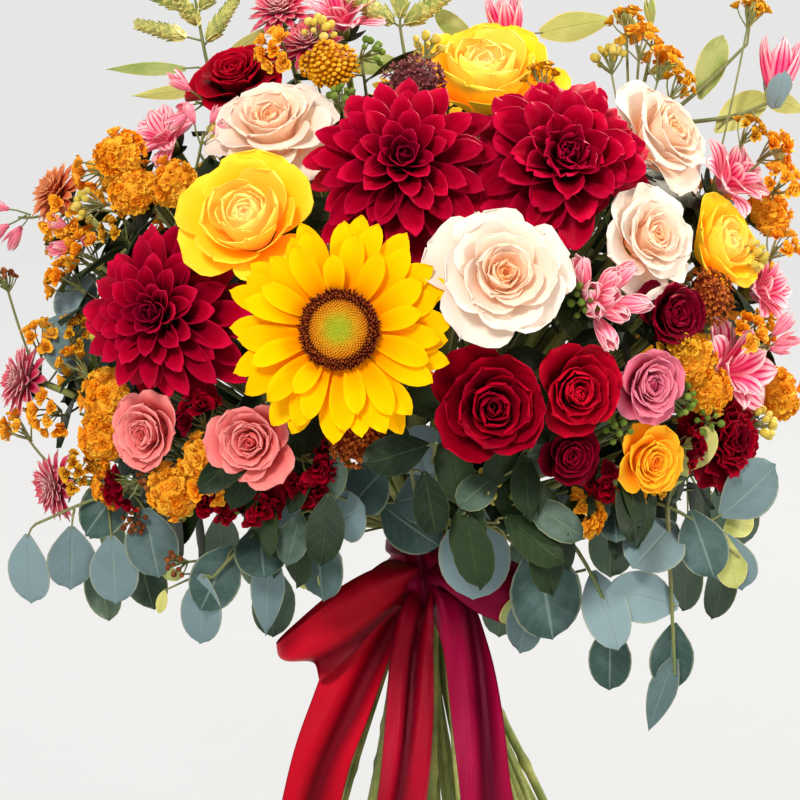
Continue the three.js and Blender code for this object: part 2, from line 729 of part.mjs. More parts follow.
// A ribbon strip through rows of middle, half-width direction pairs.
function strip(rows) {
  const rings = rows.map(([middle, across], i) => {
    const before = rows[Math.max(i - 1, 0)][0];
    const after = rows[Math.min(i + 1, rows.length - 1)][0];
    const along = after.clone().sub(before).normalize();
    const side = across.clone().addScaledVector(along, -across.dot(along)).normalize();
    const out = vec(0, 0, 0).crossVectors(along, side);
    const half = (across.length() * ribbonWidth) / 2;
    const corner = (s, t) =>
      middle.clone().addScaledVector(side, s * half).addScaledVector(out, t * ribbonThickness);
    return [corner(-1, 0.5), corner(1, 0.5), corner(1, -0.5), corner(-1, -0.5)];
  });
  return skin(rings);
}
const knotBall = new THREE.IcosahedronGeometry(1, 1);
knotBall.scale(14, 10, 16);
knotBall.translate(1, -28, 213);
const wrapFront = drumAt(wrapBottom) + gap + 1.4;
const bowParts = [
  fromGeometry(knotBall),
  strip([
    [vec(-5, -33.5, 216), vec(0.1, 0, -0.3)],
    [vec(-18, -47, 208), vec(0.3, 0.1, -0.7)],
    [vec(-42, -57, 190), vec(0.45, 0, -0.8)],
    [vec(-62, -57, 173), vec(0.6, 0, -0.76)],
    [vec(-69, -53, 167), vec(0.62, 0, -0.74)],
    [vec(-54, -49, 180.5), vec(0.54, 0, -0.74)],
    [vec(-5, -30, 211), vec(0.1, 0, -0.3)],
  ]),
  strip([
    [vec(8, -33.5, 216), vec(0, 0, 0.3)],
    [vec(22, -48, 215), vec(0, 0, 0.75)],
    [vec(42, -58, 211), vec(0.05, 0, 1.0)],
    [vec(60, -58, 204), vec(0.12, 0, 1.08)],
    [vec(67, -54, 201), vec(0.14, 0, 1.08)],
    [vec(50, -48, 206), vec(0.1, 0, 1.0)],
    [vec(8, -30, 212), vec(0, 0, 0.3)],
  ]),
  strip([
    [vec(-4, -31, 206), vec(0.25, 0, -0.05)],
    [seen(-22, 190, -39.5), vec(0.8, 0, -0.3)],
    [seen(-34, 165, -45), vec(0.95, 0, -0.25)],
    [seen(-49, 125, -53), vec(0.98, 0.1, -0.2)],
    [seen(-62, 88, -60), vec(0.98, 0.1, -0.2)],
    [seen(-74, 34, -68), vec(0.98, 0.1, -0.25)],
  ]),
  strip([
    [vec(1, -29, 204), vec(0.25, 0, 0)],
    [seen(-3, 184, -47), vec(0.6, -0.1, 0)],
    [seen(-5, 158, -54), vec(0.66, 0.2, 0)],
    [seen(-7, 120, -67), vec(0.7, 0.25, 0)],
    [seen(-10, 79, -82), vec(0.78, 0.2, 0)],
    [seen(-14, 44, -95), vec(0.8, 0.2, 0.1)],
  ]),
  strip([
    [vec(6, -31, 206), vec(0.25, 0, 0.05)],
    [seen(19, 188, -41), vec(0.7, 0.1, 0.1)],
    [seen(28, 160, -49), vec(0.74, 0.2, 0.1)],
    [seen(34, 120, -63), vec(0.78, 0.2, 0.12)],
    [seen(39, 79, -78), vec(0.8, 0.2, 0.12)],
    [seen(44, 38, -92), vec(0.86, 0.2, 0.2)],
  ]),
];
const bow = mainBody(fuse(bowParts).trimByPlane([0, -1, 0], wrapFront + gap));

// Leafy sprays. A twig is a row of spots; a leaf is across, up, depth, length, width
// and roll; a bud is across, up, depth, radius and length.
const leaves = {
  eucalyptus_left: {
    tint: 0x6f8f84,
    twigs: [
      [[-23, -12, 240], [-104, -52, 272], [-170, -66, 272], [-222, -66, 252]],
      [[-63, -32, 256], [-92, -84, 252], [-118, -96, 228]],
      [[-63, -32, 256], [-150, -36, 300], [-200, -34, 352]],
    ],
    leaves: [
      [-192, 250, -72, 41, 30, 0.3],
      [-164, 226, -84, 41, 31, -0.2],
      [-187, 208, -78, 43, 30, 0.2],
      [-212, 216, -74, 39, 29, -0.4],
      [-240, 207, -66, 48, 27, 0.3],
      [-136, 181, -96, 50, 25, 0.2],
      [-124, 206, -98, 41, 30, -0.2],
      [-98, 226, -100, 41, 32, 0.1],
      [-203, 345, -40, 46, 40, 0.2],
      [-206, 372, -26, 39, 30, -0.4],
      [-180, 330, -30, 39, 30, 0.5],
    ],
  },
  eucalyptus_front: {
    tint: 0x7b9a8c,
    twigs: [
      [[-6, -24, 241], [-30, -72, 262], [-62, -108, 258]],
      [[-6, -24, 241], [22, -70, 258], [48, -98, 252], [72, -106, 226]],
    ],
    leaves: [
      [-48, 241, -118, 39, 30, 0.1],
      [-36, 257, -112, 39, 30, -0.3],
      [-78, 250, -116, 41, 30, 0.3],
      [-63, 212, -104, 46, 27, 0.2],
      [-95, 193, -96, 52, 20, -0.1],
      [-3, 279, -126, 36, 27, 0.1],
      [-8, 236, -84, 41, 30, 0.1],
      [-3, 254, -104, 39, 30, -0.2],
      [17, 268, -118, 36, 30, 0.2],
      [32, 220, -92, 52, 42, 0.1],
      [77, 196, -108, 57, 42, -0.1],
      [52, 250, -100, 36, 25, 0.2],
    ],
  },
  eucalyptus_right: {
    tint: 0x6d8c86,
    twigs: [
      [[23, -12, 240], [84, -62, 270], [140, -82, 266], [182, -80, 236]],
      [[53, -37, 255], [84, -90, 248], [108, -98, 206]],
      [[140, -82, 266], [143, -88, 210], [146, -86, 168]],
    ],
    leaves: [
      [84, 241, -104, 43, 27, 0.2],
      [117, 243, -100, 34, 22, -0.2],
      [144, 228, -96, 48, 35, 0.2],
      [171, 226, -90, 41, 30, -0.2],
      [199, 257, -80, 43, 32, 0.2],
      [139, 193, -98, 48, 30, 0.1],
      [154, 154, -88, 43, 27, -0.2],
      [146, 130, -84, 52, 17, 0.1],
      [189, 212, -80, 39, 27, 0.3],
      [112, 186, -104, 48, 27, -0.1],
      [115, 152, -98, 46, 25, 0.2],
      [62, 176, -98, 39, 22, 0.2],
    ],
  },
  eucalyptus_back_left: {
    tint: 0x6a8a80,
    twigs: [
      [[-22, 14, 240], [-104, 74, 268], [-182, 120, 246]],
      [[-22, 14, 240], [-56, 112, 252], [-84, 178, 248]],
    ],
    leaves: [
      [-150, 246, 106, 48, 35, 0.3],
      [-190, 236, 132, 46, 32, -0.3],
      [-170, 206, 120, 46, 32, 0.2],
      [-120, 226, 100, 43, 32, -0.2],
      [-196, 200, 130, 46, 30, 0.1],
      [-76, 244, 158, 48, 35, 0.3],
      [-100, 220, 176, 46, 32, -0.3],
      [-60, 214, 150, 43, 32, 0.3],
      [-88, 190, 184, 48, 32, 0.1],
      [-190, 250, 40, 46, 32, 0.2],
    ],
  },
  eucalyptus_back_right: {
    tint: 0x6a8a80,
    twigs: [
      [[22, 14, 240], [104, 74, 268], [176, 118, 246]],
      [[22, 14, 240], [38, 112, 268], [50, 182, 248]],
    ],
    leaves: [
      [150, 246, 106, 48, 35, 0.3],
      [182, 236, 132, 46, 32, -0.3],
      [164, 206, 120, 46, 32, 0.2],
      [118, 226, 100, 43, 32, -0.2],
      [188, 200, 130, 46, 30, 0.1],
      [36, 244, 160, 48, 35, 0.3],
      [70, 220, 178, 46, 32, -0.3],
      [20, 214, 160, 43, 32, 0.3],
      [54, 190, 190, 48, 32, 0.1],
      [190, 244, 30, 46, 32, 0.2],
    ],
  },
  plume_spray: {
    tint: 0xb9c86a,
    twigs: [[[-98, 8, 452], [-122, 10, 500], [-132, 12, 548]]],
    leaves: [
      [-162, 508, 12, 50, 9, 0.2],
      [-148, 492, 6, 44, 9, -0.3],
      [-100, 522, 12, 36, 8, 0.3],
    ],
    buds: [
      [-134, 560, 12, 3.6, 26],
      [-122, 550, 8, 3.4, 24],
      [-146, 546, 14, 3.4, 26],
      [-118, 532, 14, 3.4, 24],
      [-148, 528, 8, 3.4, 24],
      [-136, 540, 4, 3.4, 24],
    ],
  },
  greens_top: {
    tint: 0x8fae52,
    twigs: [
      [[6, 4, 440], [-6, 8, 500], [-12, 10, 534]],
      [[6, 4, 440], [36, 20, 505], [52, 14, 526]],
    ],
    leaves: [
      [-26, 512, 8, 34, 15, 0.3],
      [2, 514, 6, 34, 14, -0.3],
      [22, 530, 12, 34, 14, 0.2],
      [92, 532, 16, 46, 18, 0.2],
    ],
    buds: [
      [-27, 540, 10, 4.2, 28],
      [-12, 548, 12, 3.6, 26],
      [2, 540, 8, 4.2, 28],
      [50, 534, 12, 9, 36],
    ],
  },
  bud_spray: {
    tint: 0xcf8a34,
    twigs: [
      [[106, -4, 440], [128, 4, 490], [136, 8, 522]],
      [[114, -1, 458], [160, 4, 494], [192, 8, 524]],
      [[138, 2, 477], [182, 0, 482], [208, 0, 492]],
    ],
    leaves: [
      [170, 508, 4, 40, 18, 0.2],
      [188, 484, 0, 40, 20, -0.2],
      [216, 486, 2, 34, 13, 0.3],
    ],
    buds: [
      [120, 535, 6, 5.5, 20],
      [142, 508, 0, 5, 18],
      [134, 540, 8, 4.5, 16],
      [193, 540, 8, 4.5, 18],
      [210, 508, 2, 10, 40],
      [210, 460, -8, 4.5, 16],
    ],
  },
};

function nearest(twigs, spot) {
  let best = null;
  for (const twig of twigs) {
    for (let i = 0; i + 1 < twig.length; i += 1) {
      const line = new THREE.Line3(twig[i], twig[i + 1]);
      const start = i === 0 ? 0.25 : 0;
      const share = THREE.MathUtils.clamp(line.closestPointToPointParameter(spot, true) - 0.2, start, 1);
      const base = line.at(share, vec(0, 0, 0));
      if (!best || base.distanceTo(spot) < best.distanceTo(spot)) {
        best = base;
      }
    }
  }
  return best;
}

// A bud on its own thin stalk.
function stalkBud(base, centre, radius, length) {
  const along = centre.clone().sub(base).normalize();
  const side = vec(0, 0, 0).crossVectors(along, vec(0.3, 1, 0.2)).normalize();
  const up = vec(0, 0, 0).crossVectors(side, along);
  const ring = (t, r) =>
    [0, 1, 2, 3].map((k) =>
      centre
        .clone()
        .addScaledVector(along, t * length)
        .addScaledVector(side, Math.cos(k * 1.5708) * r)
        .addScaledVector(up, Math.sin(k * 1.5708) * r),
    );
  const tip = centre.clone().addScaledVector(along, length * 0.55);
  return skin([[base], ring(-0.45, Math.max(1, radius * 0.3)), ring(-0.05, radius), [tip]]);
}

function clear(body, others) {
  return others.every((other) => body.minGap(other, 1) >= gap - 0.05);
}

const sprayBodies = {};
for (const node of nodes) {
  if (!clear(node.body, [stems])) {
    node.body = mainBody(node.body.subtract(fatStems));
  }
}
const placed = [stems, wrap, bow, disc, ...nodes.map((node) => node.body)];
const frontLook = vec(0, -1, 0.25);
for (const [name, spray] of Object.entries(leaves)) {
  const twigs = spray.twigs.map((twig) => twig.map((p) => vec(...p)));
  const root = twigs[0][0];
  const away = root.clone().sub(tie).normalize();
  const stub = tube([vec(0, 0, tieHeight + 1), root.clone().addScaledVector(away, -gap)], twigRadius, 4);
  stems = fuse([stems, stub]);
  placed[0] = stems;
  const parts = twigs.map((twig) => {
    const row = twig.map((p) => p.clone());
    let body = null;
    if (row[0].distanceTo(root) < 0.01) {
      row[0].addScaledVector(away, -2);
      body = tube(row, row.map((p, k) => twigRadius - 0.25 * k), 3);
      body = body.trimByPlane(away.toArray(), away.dot(root));
    } else {
      body = tube(row, row.map((p, k) => twigRadius - 0.1 - 0.25 * k), 3);
    }
    return body;
  });
  const branches = fuse(parts);
  const items = [...spray.leaves.map((l) => ["leaf", l]), ...(spray.buds ?? []).map((b) => ["bud", b])];
  for (const [kind, item] of items) {
    // A leaf that touches a neighbour is moved out and rolled until it is clear.
    let joined = false;
    for (let attempt = 0; attempt < leafTries && !joined; attempt += 1) {
      const push = Math.floor(attempt / 3) * leafPush * Math.sign(item[2] || 1);
      const drop = attempt * 2 > leafTries ? leafDrop : 0;
      const centre = seen(item[0], item[1] - drop, item[2] + push);
      const base = nearest(twigs, centre);
      const turn = item[5] + [0, 0.5, -0.5][attempt % 3];
      const look = item[2] > 60 ? vec(item[0] * 0.006, 1, 0.4) : frontLook;
      const sag = item[1] < skirtTop ? leafSag * (1 - attempt / 24) : 0;
      const body =
        kind === "leaf"
          ? leaf(base, centre, item[3], item[4], look, turn, sag)
          : stalkBud(base, centre, item[3], item[4]);
      joined = clear(body, placed) && fuse([branches, body]).decompose().length === 1;
      if (joined) {
        parts.push(body);
      }
    }
  }
  const body = mainBody(fuse(parts));
  sprayBodies[name] = body;
  placed.push(body);
}
stems = mainBody(stems);

// Assembly.
const group = new THREE.Group();
function add(name, body, colour, roughness) {
  const raw = mainBody(body.simplify(tolerance)).getMesh();
  const geometry = new THREE.BufferGeometry();
  geometry.setAttribute("position", new THREE.BufferAttribute(new Float32Array(raw.vertProperties), 3));
  geometry.setIndex(new THREE.BufferAttribute(new Uint32Array(raw.triVerts), 1));
  const material = new THREE.MeshStandardMaterial({ color: colour, roughness, metalness: 0 });
  const mesh = new THREE.Mesh(geometry, material);
  mesh.name = name;
  group.add(mesh);
}

add("stems", stems, 0x4f7a2a, 0.6);
add("ribbon_wrap", wrap, 0xa30a2c, 0.35);
add("ribbon_bow", bow, 0xb00c34, 0.35);
add("sunflower_disc", disc, 0x5a2410, 0.9);
for (const node of nodes) {
  add(node.name, node.body, node.tint, 0.7);
}
for (const [name, spray] of Object.entries(leaves)) {
  add(name, sprayBodies[name], spray.tint, 0.6);
}

export default group;
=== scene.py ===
import math
import random

import bmesh
import bpy
from mathutils import Matrix, Quaternion, Vector


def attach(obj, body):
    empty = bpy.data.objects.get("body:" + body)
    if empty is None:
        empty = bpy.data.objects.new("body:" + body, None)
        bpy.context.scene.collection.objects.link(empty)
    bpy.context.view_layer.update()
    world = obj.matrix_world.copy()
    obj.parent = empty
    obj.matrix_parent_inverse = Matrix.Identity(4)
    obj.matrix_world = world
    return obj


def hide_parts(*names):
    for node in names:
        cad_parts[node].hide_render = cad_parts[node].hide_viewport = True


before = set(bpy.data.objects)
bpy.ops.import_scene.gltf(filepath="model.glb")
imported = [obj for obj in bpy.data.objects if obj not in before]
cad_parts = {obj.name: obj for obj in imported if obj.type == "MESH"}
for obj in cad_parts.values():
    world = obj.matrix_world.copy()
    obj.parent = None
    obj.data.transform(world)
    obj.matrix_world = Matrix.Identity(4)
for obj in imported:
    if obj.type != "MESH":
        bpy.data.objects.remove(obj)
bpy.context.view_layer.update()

mm = 0.001
goldenTurn = 2.399963
sharpAngle = 1.1
petalWall = 0.00045
leafWall = 0.0004


# The photograph's view: spots are given across and up on the plane of the axis, with
# a depth behind (plus) or before (minus) it, all in millimetres.
view = {
    "target": (-0.012, 0.0, 0.313),
    "range": 1.4,
    "tilt": 10.0,
    "lens": 105.0,
}


def seen(across, up, depth):
    tilt = math.radians(view["tilt"])
    centre = view["target"][2] / mm
    far = view["range"] / mm
    spread = (far + depth) / far
    rise = (up - centre) * spread
    z = centre + (rise - depth * math.sin(tilt)) / math.cos(tilt)
    return Vector((across * spread, depth, z)) * mm


def facing(turn, tip):
    turn, tip = math.radians(turn), math.radians(tip)
    level = math.cos(tip)
    return Vector((math.sin(turn) * level, -math.cos(turn) * level, math.sin(tip)))


def around(turn, reach=1.0, height=0.0):
    # a spot on a level circle
    return Vector((math.cos(turn) * reach, math.sin(turn) * reach, height))


def aimed(line):
    # turns +Z along a line
    return Vector((0, 0, 1)).rotation_difference(line).to_matrix().to_4x4()


def turned(turn, axis="Z"):
    return Matrix.Rotation(turn, 4, axis)


def linked(name, data):
    thing = bpy.data.objects.new(name, data)
    bpy.context.scene.collection.objects.link(thing)
    return thing


def makeCamera():
    data = bpy.data.cameras.new("frontView")
    data.lens = view["lens"]
    data.sensor_width = 36.0
    data.dof.use_dof = False
    camera = linked("frontView", data)
    away = facing(0, view["tilt"])
    camera.location = Vector(view["target"]) + away * view["range"]
    camera.rotation_euler = (-away).to_track_quat("-Z", "Y").to_euler()
    bpy.context.scene.camera = camera


makeCamera()
print("camera ready")


# Shaders: a value on its way through a material, with plain arithmetic.
class Wire:
    def __init__(self, shade, socket):
        self.shade = shade
        self.socket = socket

    def sum(self, operation, first, second=None):
        sockets = {0: first} if second is None else {0: first, 1: second}
        return self.shade.add("ShaderNodeMath", {"operation": operation}, sockets).out(0)

    def __add__(self, other):
        return self.sum("ADD", self, other)

    def __radd__(self, other):
        return self.sum("ADD", other, self)

    def __sub__(self, other):
        return self.sum("SUBTRACT", self, other)

    def __rsub__(self, other):
        return self.sum("SUBTRACT", other, self)

    def __mul__(self, other):
        return self.sum("MULTIPLY", self, other)

    def __abs__(self):
        return self.sum("ABSOLUTE", self)

    def wave(self):
        return self.sum("SINE", self)

    def held(self, low, high):
        # 0 below low, 1 above high
        spread = {"From Min": low, "From Max": high, "Value": self}
        return self.shade.add("ShaderNodeMapRange", {"clamp": True}, spread).out(0)


class Node:
    def __init__(self, shade, node):
        self.shade = shade
        self.node = node

    def out(self, key):
        return Wire(self.shade, self.node.outputs[key])


class Shade:
    def __init__(self, name):
        self.material = bpy.data.materials.new(name)
        self.material.use_nodes = True
        self.tree = self.material.node_tree
        self.tree.nodes.clear()

    def add(self, kind, settings=None, sockets=None):
        node = self.tree.nodes.new(kind)
        for key, value in (settings or {}).items():
            if key == "stops":
                ramp = node.color_ramp
                while len(ramp.elements) < len(value):
                    ramp.elements.new(0.5)
                for stop, (place, colour) in zip(ramp.elements, value):
                    stop.position = place
                    stop.color = (*colour, 1.0)
            else:
                setattr(node, key, value)
        for key, value in (sockets or {}).items():
            if isinstance(value, Wire):
                self.tree.links.new(value.socket, node.inputs[key])
            else:
                node.inputs[key].default_value = value
        return Node(self, node)

    def parts(self, vector):
        node = self.add("ShaderNodeSeparateXYZ", None, {0: vector})
        return node.out(0), node.out(1), node.out(2)

    def split(self, name):
        return self.parts(self.add("ShaderNodeAttribute", {"attribute_name": name}).out("Vector"))

    def level(self, name):
        return self.add("ShaderNodeAttribute", {"attribute_name": name}).out("Fac")

    def join(self, x, y, z):
        return self.add("ShaderNodeCombineXYZ", None, {0: x, 1: y, 2: z}).out(0)

    def place(self):
        return self.add("ShaderNodeTexCoord").out("Object")

    def noise(self, where, scale, detail=3.0):
        sockets = {"Vector": where, "Scale": scale, "Detail": detail, "Roughness": 0.55}
        return self.add("ShaderNodeTexNoise", None, sockets).out(0)

    def mix(self, share, first, second):
        first = (*first, 1.0) if isinstance(first, tuple) else first
        second = (*second, 1.0) if isinstance(second, tuple) else second
        settings = {"data_type": "RGBA", "blend_type": "MIX", "clamp_factor": True}
        return self.add("ShaderNodeMix", settings, {0: share, 6: first, 7: second}).out(2)

    def bump(self, height, strength, distance):
        sockets = {"Height": height, "Strength": strength, "Distance": distance}
        return self.add("ShaderNodeBump", None, sockets).out(0)

    def finish(self, sockets):
        surface = self.add("ShaderNodeBsdfPrincipled", None, sockets).out(0)
        self.add("ShaderNodeOutputMaterial", None, {"Surface": surface})
        return self.material


# What a petal's look has unless it says otherwise: where its root and rim colours begin
# and end along it, how far the heart's colour spreads, how dark, ribbed and glossy it is, and how
# strongly a painted glow lifts its shade.
plainPetal = {
    "rootFrom": 0.0, "rootEnd": 0.55, "rimFrom": 0.6, "rimShare": 0.8, "heartEnd": 0.7, "lines": 22.0,
    "depth": 0.5, "ribs": 0.7, "glow": 0.0, "gloss": 0.12, "sheen": 0.0,
}


def petalSkin(name, tones):
    # root, body and rim run along a petal, heart is the colour of the innermost ones
    look = {**plainPetal, **tones}
    shade = Shade(name)
    across, along, tone = shade.split("petal")
    ring = shade.level("ring")
    where = shade.place()
    fibre = shade.noise(shade.join(across * 9.0 + tone * 31.0, along * 1.4, tone * 17.0), 1.0)
    cloud = shade.noise(where, 70.0, 2.0)
    grain = shade.noise(where, 900.0, 2.0)
    # partly the petal's own base colour, partly painted shade: the colour runs from a dark root where the
    # base lies deep in the flower
    colour = shade.mix(along.held(look["rootFrom"], look["rootEnd"]), look["root"], look["body"])
    # partly the petal's own paler edge, partly painted highlight: edges and tips turn towards the rim
    # colour as if light caught them
    edge = abs(across).held(0.45, 1.0) * 0.5 + along.held(look["rimFrom"], 1.0)
    edge = edge * look["rimShare"]
    colour = shade.mix(edge + (fibre - 0.5) * 0.5, colour, look["rim"])
    if "pale" in look:
        colour = shade.mix(tone.held(0.45, 0.9) * look["pale"], colour, look["rim"])
    if "heart" in look:
        colour = shade.mix(1.0 - ring.held(0.0, look["heartEnd"]), colour, look["heart"])
    if "streak" in look:
        lines = (across * look["lines"] + fibre * 3.0).wave().held(0.1, 0.7)
        mask = lines * look["streakShare"] * along.held(0.1, 0.5) * (1.0 - along.held(0.75, 1.0) * 0.6)
        colour = shade.mix(mask, colour, look["streak"])
    dark = fibre.held(0.35, 0.75) * 0.5 + cloud.held(0.4, 0.8) * 0.5 + tone * 0.5
    colour = shade.mix(dark * look["depth"], colour, look["shade"])
    height = fibre * look["ribs"] + grain * 0.16
    return shade.finish({
        "Base Color": colour,
        "Roughness": 0.46 + grain * 0.16,
        "Normal": shade.bump(height, 0.55, 0.0011),
        # painted glow: the petal gives off a little light in its own colour, lifting its shade
        "Emission Color": colour,
        "Emission Strength": look["glow"],
        "Specular IOR Level": look["gloss"],
        "Specular Tint": (*look["rim"], 1.0),
        "Sheen Weight": look["sheen"],
        "Sheen Roughness": 0.4,
        "Sheen Tint": (*look["rim"], 1.0),
    })


# glow is a painted glow: a little light the leaf gives off in its own colour to lift its shade
plainLeaf = {"patches": 0.6, "bloomShare": 0.5, "veinShare": 0.3, "rough": 0.5, "glow": 0.0}


def leafSkin(name, tones):
    # body and other mix from leaf to leaf, bloom is the pale wax on top of them
    look = {**plainLeaf, **tones}
    shade = Shade(name)
    across, along, tone = shade.split("petal")
    where = shade.place()
    cloud = shade.noise(where, 55.0, 4.0)
    grain = shade.noise(where, 1100.0, 2.0)
    side = abs(across)
    rib = 1.0 - side.held(0.015, 0.075)
    veins = ((along * 34.0 - side * 9.0).wave() * 0.5 + 0.5).held(0.72, 1.0)
    veins = veins * (1.0 - side.held(0.6, 1.0))
    patches = (cloud - 0.5) * look["patches"]
    colour = shade.mix(tone.held(0.15, 0.85) + patches, look["body"], look["other"])
    colour = shade.mix(cloud.held(0.45, 0.75) * look["bloomShare"], colour, look["bloom"])
    colour = shade.mix(veins * look["veinShare"], colour, look["vein"])
    colour = shade.mix(rib * 0.6, colour, look["vein"])
    colour = shade.mix(side.held(0.9, 1.0) * 0.7, colour, look["rim"])
    height = rib * -0.5 + veins * -0.12 + cloud * 0.25 + grain * 0.08
    return shade.finish({
        "Base Color": colour,
        "Roughness": look["rough"] + grain * 0.14 - rib * 0.1,
        "Normal": shade.bump(height, 0.5, 0.0012),
        # painted glow: the leaf gives off a little light in its own colour, lifting its shade
        "Emission Color": colour,
        "Emission Strength": look["glow"],
        "Specular IOR Level": 0.2,
    })


def stemSkin(name, look):
    shade = Shade(name)
    where = shade.place()
    x, y, z = shade.parts(where)
    fibre = shade.noise(shade.join(x * 900.0, y * 900.0, z * 26.0), 1.0, 3.0)
    band = shade.noise(shade.join(x * 18.0, y * 18.0, z * 34.0), 1.0, 2.0)
    colour = shade.mix(band.held(0.35, 0.68), look["body"], look["other"])
    colour = shade.mix(fibre.held(0.4, 0.8) * 0.55, colour, look["shade"])
    colour = shade.mix(1.0 - z.held(0.0006, 0.0012), colour, look["cut"])
    return shade.finish({
        "Base Color": colour,
        "Roughness": 0.42 + fibre * 0.2,
        "Normal": shade.bump(fibre, 0.5, 0.0008),
    })


def satinSkin(name, look):
    shade = Shade(name)
    across, along, tone = shade.split("petal")
    where = shade.place()
    thread = (across * 420.0).wave() * 0.5 + 0.5
    slub = shade.noise(shade.join(across * 60.0, along * 5.0, 0.0), 1.0, 3.0)
    cloud = shade.noise(where, 16.0, 2.0)
    colour = shade.mix(cloud.held(0.3, 0.7), look["body"], look["other"])
    colour = shade.mix(slub.held(0.5, 0.9) * 0.3, colour, look["shade"])
    # painted shade: the tone is the depth of a fold, darker in its valley, and the satin is painted
    # darker towards the knot
    colour = shade.mix((1.0 - tone.held(0.1, 0.6)) * 0.85, colour, look["shade"])
    colour = shade.mix((1.0 - along.held(0.0, look["knotShadeEnd"])) * 0.7, colour, look["shade"])
    hem = abs(across).held(0.955, 0.975)
    colour = shade.mix(hem * 0.5, colour, look["shade"])
    height = thread * 0.2 + slub * 0.5 + hem * 0.8
    return shade.finish({
        "Base Color": colour,
        "Roughness": 0.34 + slub * 0.12 + hem * 0.1,
        "Normal": shade.bump(height, 0.35, 0.0005),
        "Sheen Weight": 0.06,
        "Sheen Roughness": 0.3,
        "Sheen Tint": (*look["sheen"], 1.0),
        "Specular IOR Level": 0.35,
        "Specular Tint": (*look["sheen"], 1.0),
    })


# Meshes: each vertex carries its place on a petal (across, along and tone) and the ring
# of petals that it is in, for the skins.
def startMesh():
    bm = bmesh.new()
    bm.verts.layers.float_vector.new("petal")
    bm.verts.layers.float.new("ring")
    return bm


def absorb(bm, part):
    # takes a small mesh into a large one, which is quicker than growing the large one
    mesh = bpy.data.meshes.new("part")
    part.to_mesh(mesh)
    part.free()
    bm.from_mesh(mesh)
    bpy.data.meshes.remove(mesh)


def addLines(bm, lines, sides):
    # round stems, each through a row of spots with a radius at each
    before = len(bm.verts)
    curve = bpy.data.curves.new("lines", "CURVE")
    curve.dimensions = "3D"
    curve.bevel_depth = 1.0
    curve.bevel_resolution = max(0, (sides - 4) // 2)
    curve.use_fill_caps = True
    for spots, radii in lines:
        spline = curve.splines.new("POLY")
        spline.points.add(len(spots) - 1)
        for point, spot, radius in zip(spline.points, spots, radii):
            point.co = (*spot, 1.0)
            point.radius = radius
    holder = bpy.data.objects.new("lines", curve)
    mesh = bpy.data.meshes.new_from_object(holder)
    bm.from_mesh(mesh)
    bpy.data.objects.remove(holder)
    bpy.data.curves.remove(curve)
    bpy.data.meshes.remove(mesh)
    bm.verts.ensure_lookup_table()
    return bm.verts[before:]


def thickened(bm, thick, underSkin):
    # petals and leaves get their real thickness, with the under side's own skin
    mesh = bpy.data.meshes.new("thin")
    bm.to_mesh(mesh)
    bm.free()
    holder = linked("thin", mesh)
    for _ in range(underSkin + 1):
        mesh.materials.append(None)
    wall = holder.modifiers.new("wall", "SOLIDIFY")
    wall.thickness = thick
    wall.offset = -1.0
    wall.material_offset = underSkin
    wall.material_offset_rim = underSkin
    settled = holder.evaluated_get(bpy.context.evaluated_depsgraph_get())
    shell = bpy.data.meshes.new_from_object(settled)
    grown = bmesh.new()
    grown.from_mesh(shell)
    bpy.data.objects.remove(holder)
    bpy.data.meshes.remove(mesh)
    bpy.data.meshes.remove(shell)
    return grown


def cutAtFloor(bm, skinIndex):
    # cuts the stems off level and closes their ends
    everything = bm.verts[:] + bm.edges[:] + bm.faces[:]
    cut = bmesh.ops.bisect_plane(
        bm, geom=everything, plane_co=(0, 0, 0), plane_no=(0, 0, 1), clear_inner=True
    )
    rims = [item for item in cut["geom_cut"] if isinstance(item, bmesh.types.BMEdge)]
    bmesh.ops.edgenet_fill(bm, edges=rims, mat_nr=skinIndex)


def finishMesh(bm, name, nodes, skin, thick=0.0, under=None, lines=None, lineSkin=None, sides=6,
               floor=False):
    # skin and under are the petals' or leaves' own, lineSkin is that of the stalks
    skins = [each for each in (skin, under, lineSkin) if each]
    if thick:
        bm = thickened(bm, thick, 1 if under else 0)
    if lines:
        made = set(addLines(bm, lines, sides))
        markAll(bm, made, (0.0, 0.5, 0.4))
        for face in bm.faces:
            if face.verts[0] in made:
                face.material_index = len(skins) - 1
    if floor:
        cutAtFloor(bm, len(skins) - 1)
    bmesh.ops.recalc_face_normals(bm, faces=bm.faces)
    for face in bm.faces:
        face.smooth = True
    for edge in bm.edges:
        if edge.is_manifold and edge.calc_face_angle(0.0) > sharpAngle:
            edge.smooth = False
    mesh = bpy.data.meshes.new(name)
    bm.to_mesh(mesh)
    bm.free()
    piece = linked(name, mesh)
    for each in skins:
        mesh.materials.append(each)
    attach(piece, "root")
    if nodes:
        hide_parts(*nodes)
    return piece


def markAll(bm, verts, mark):
    petalLayer = bm.verts.layers.float_vector["petal"]
    ringLayer = bm.verts.layers.float["ring"]
    for vert in verts:
        vert[petalLayer] = mark
        vert[ringLayer] = 0.5


def centreLine(length, start, end, ease):
    # reach, rise and lean along a petal that bends from its start lean to its end lean
    start, end = math.radians(start), math.radians(end)
    steps = 14
    reach = rise = 0.0
    spots = [(reach, rise, start)]
    for i in range(1, steps + 1):
        lean = start + (end - start) * (i / steps) ** ease
        reach += math.cos(lean) * length / steps
        rise += math.sin(lean) * length / steps
        spots.append((reach, rise, lean))
    return spots


def onLine(spots, share):
    spot = min(max(share, 0.0), 1.0) * (len(spots) - 1)
    low = min(int(spot), len(spots) - 2)
    part = spot - low
    return [a + (b - a) * part for a, b in zip(spots[low], spots[low + 1])]


def outline(form, share):
    if share < form["widest"]:
        return form["base"] + (1 - form["base"]) * math.sin(share / form["widest"] * math.pi / 2)
    rest = (share - form["widest"]) / (1 - form["widest"])
    return max(form["tip"], (1 - rest ** form["blunt"]) ** form["point"])


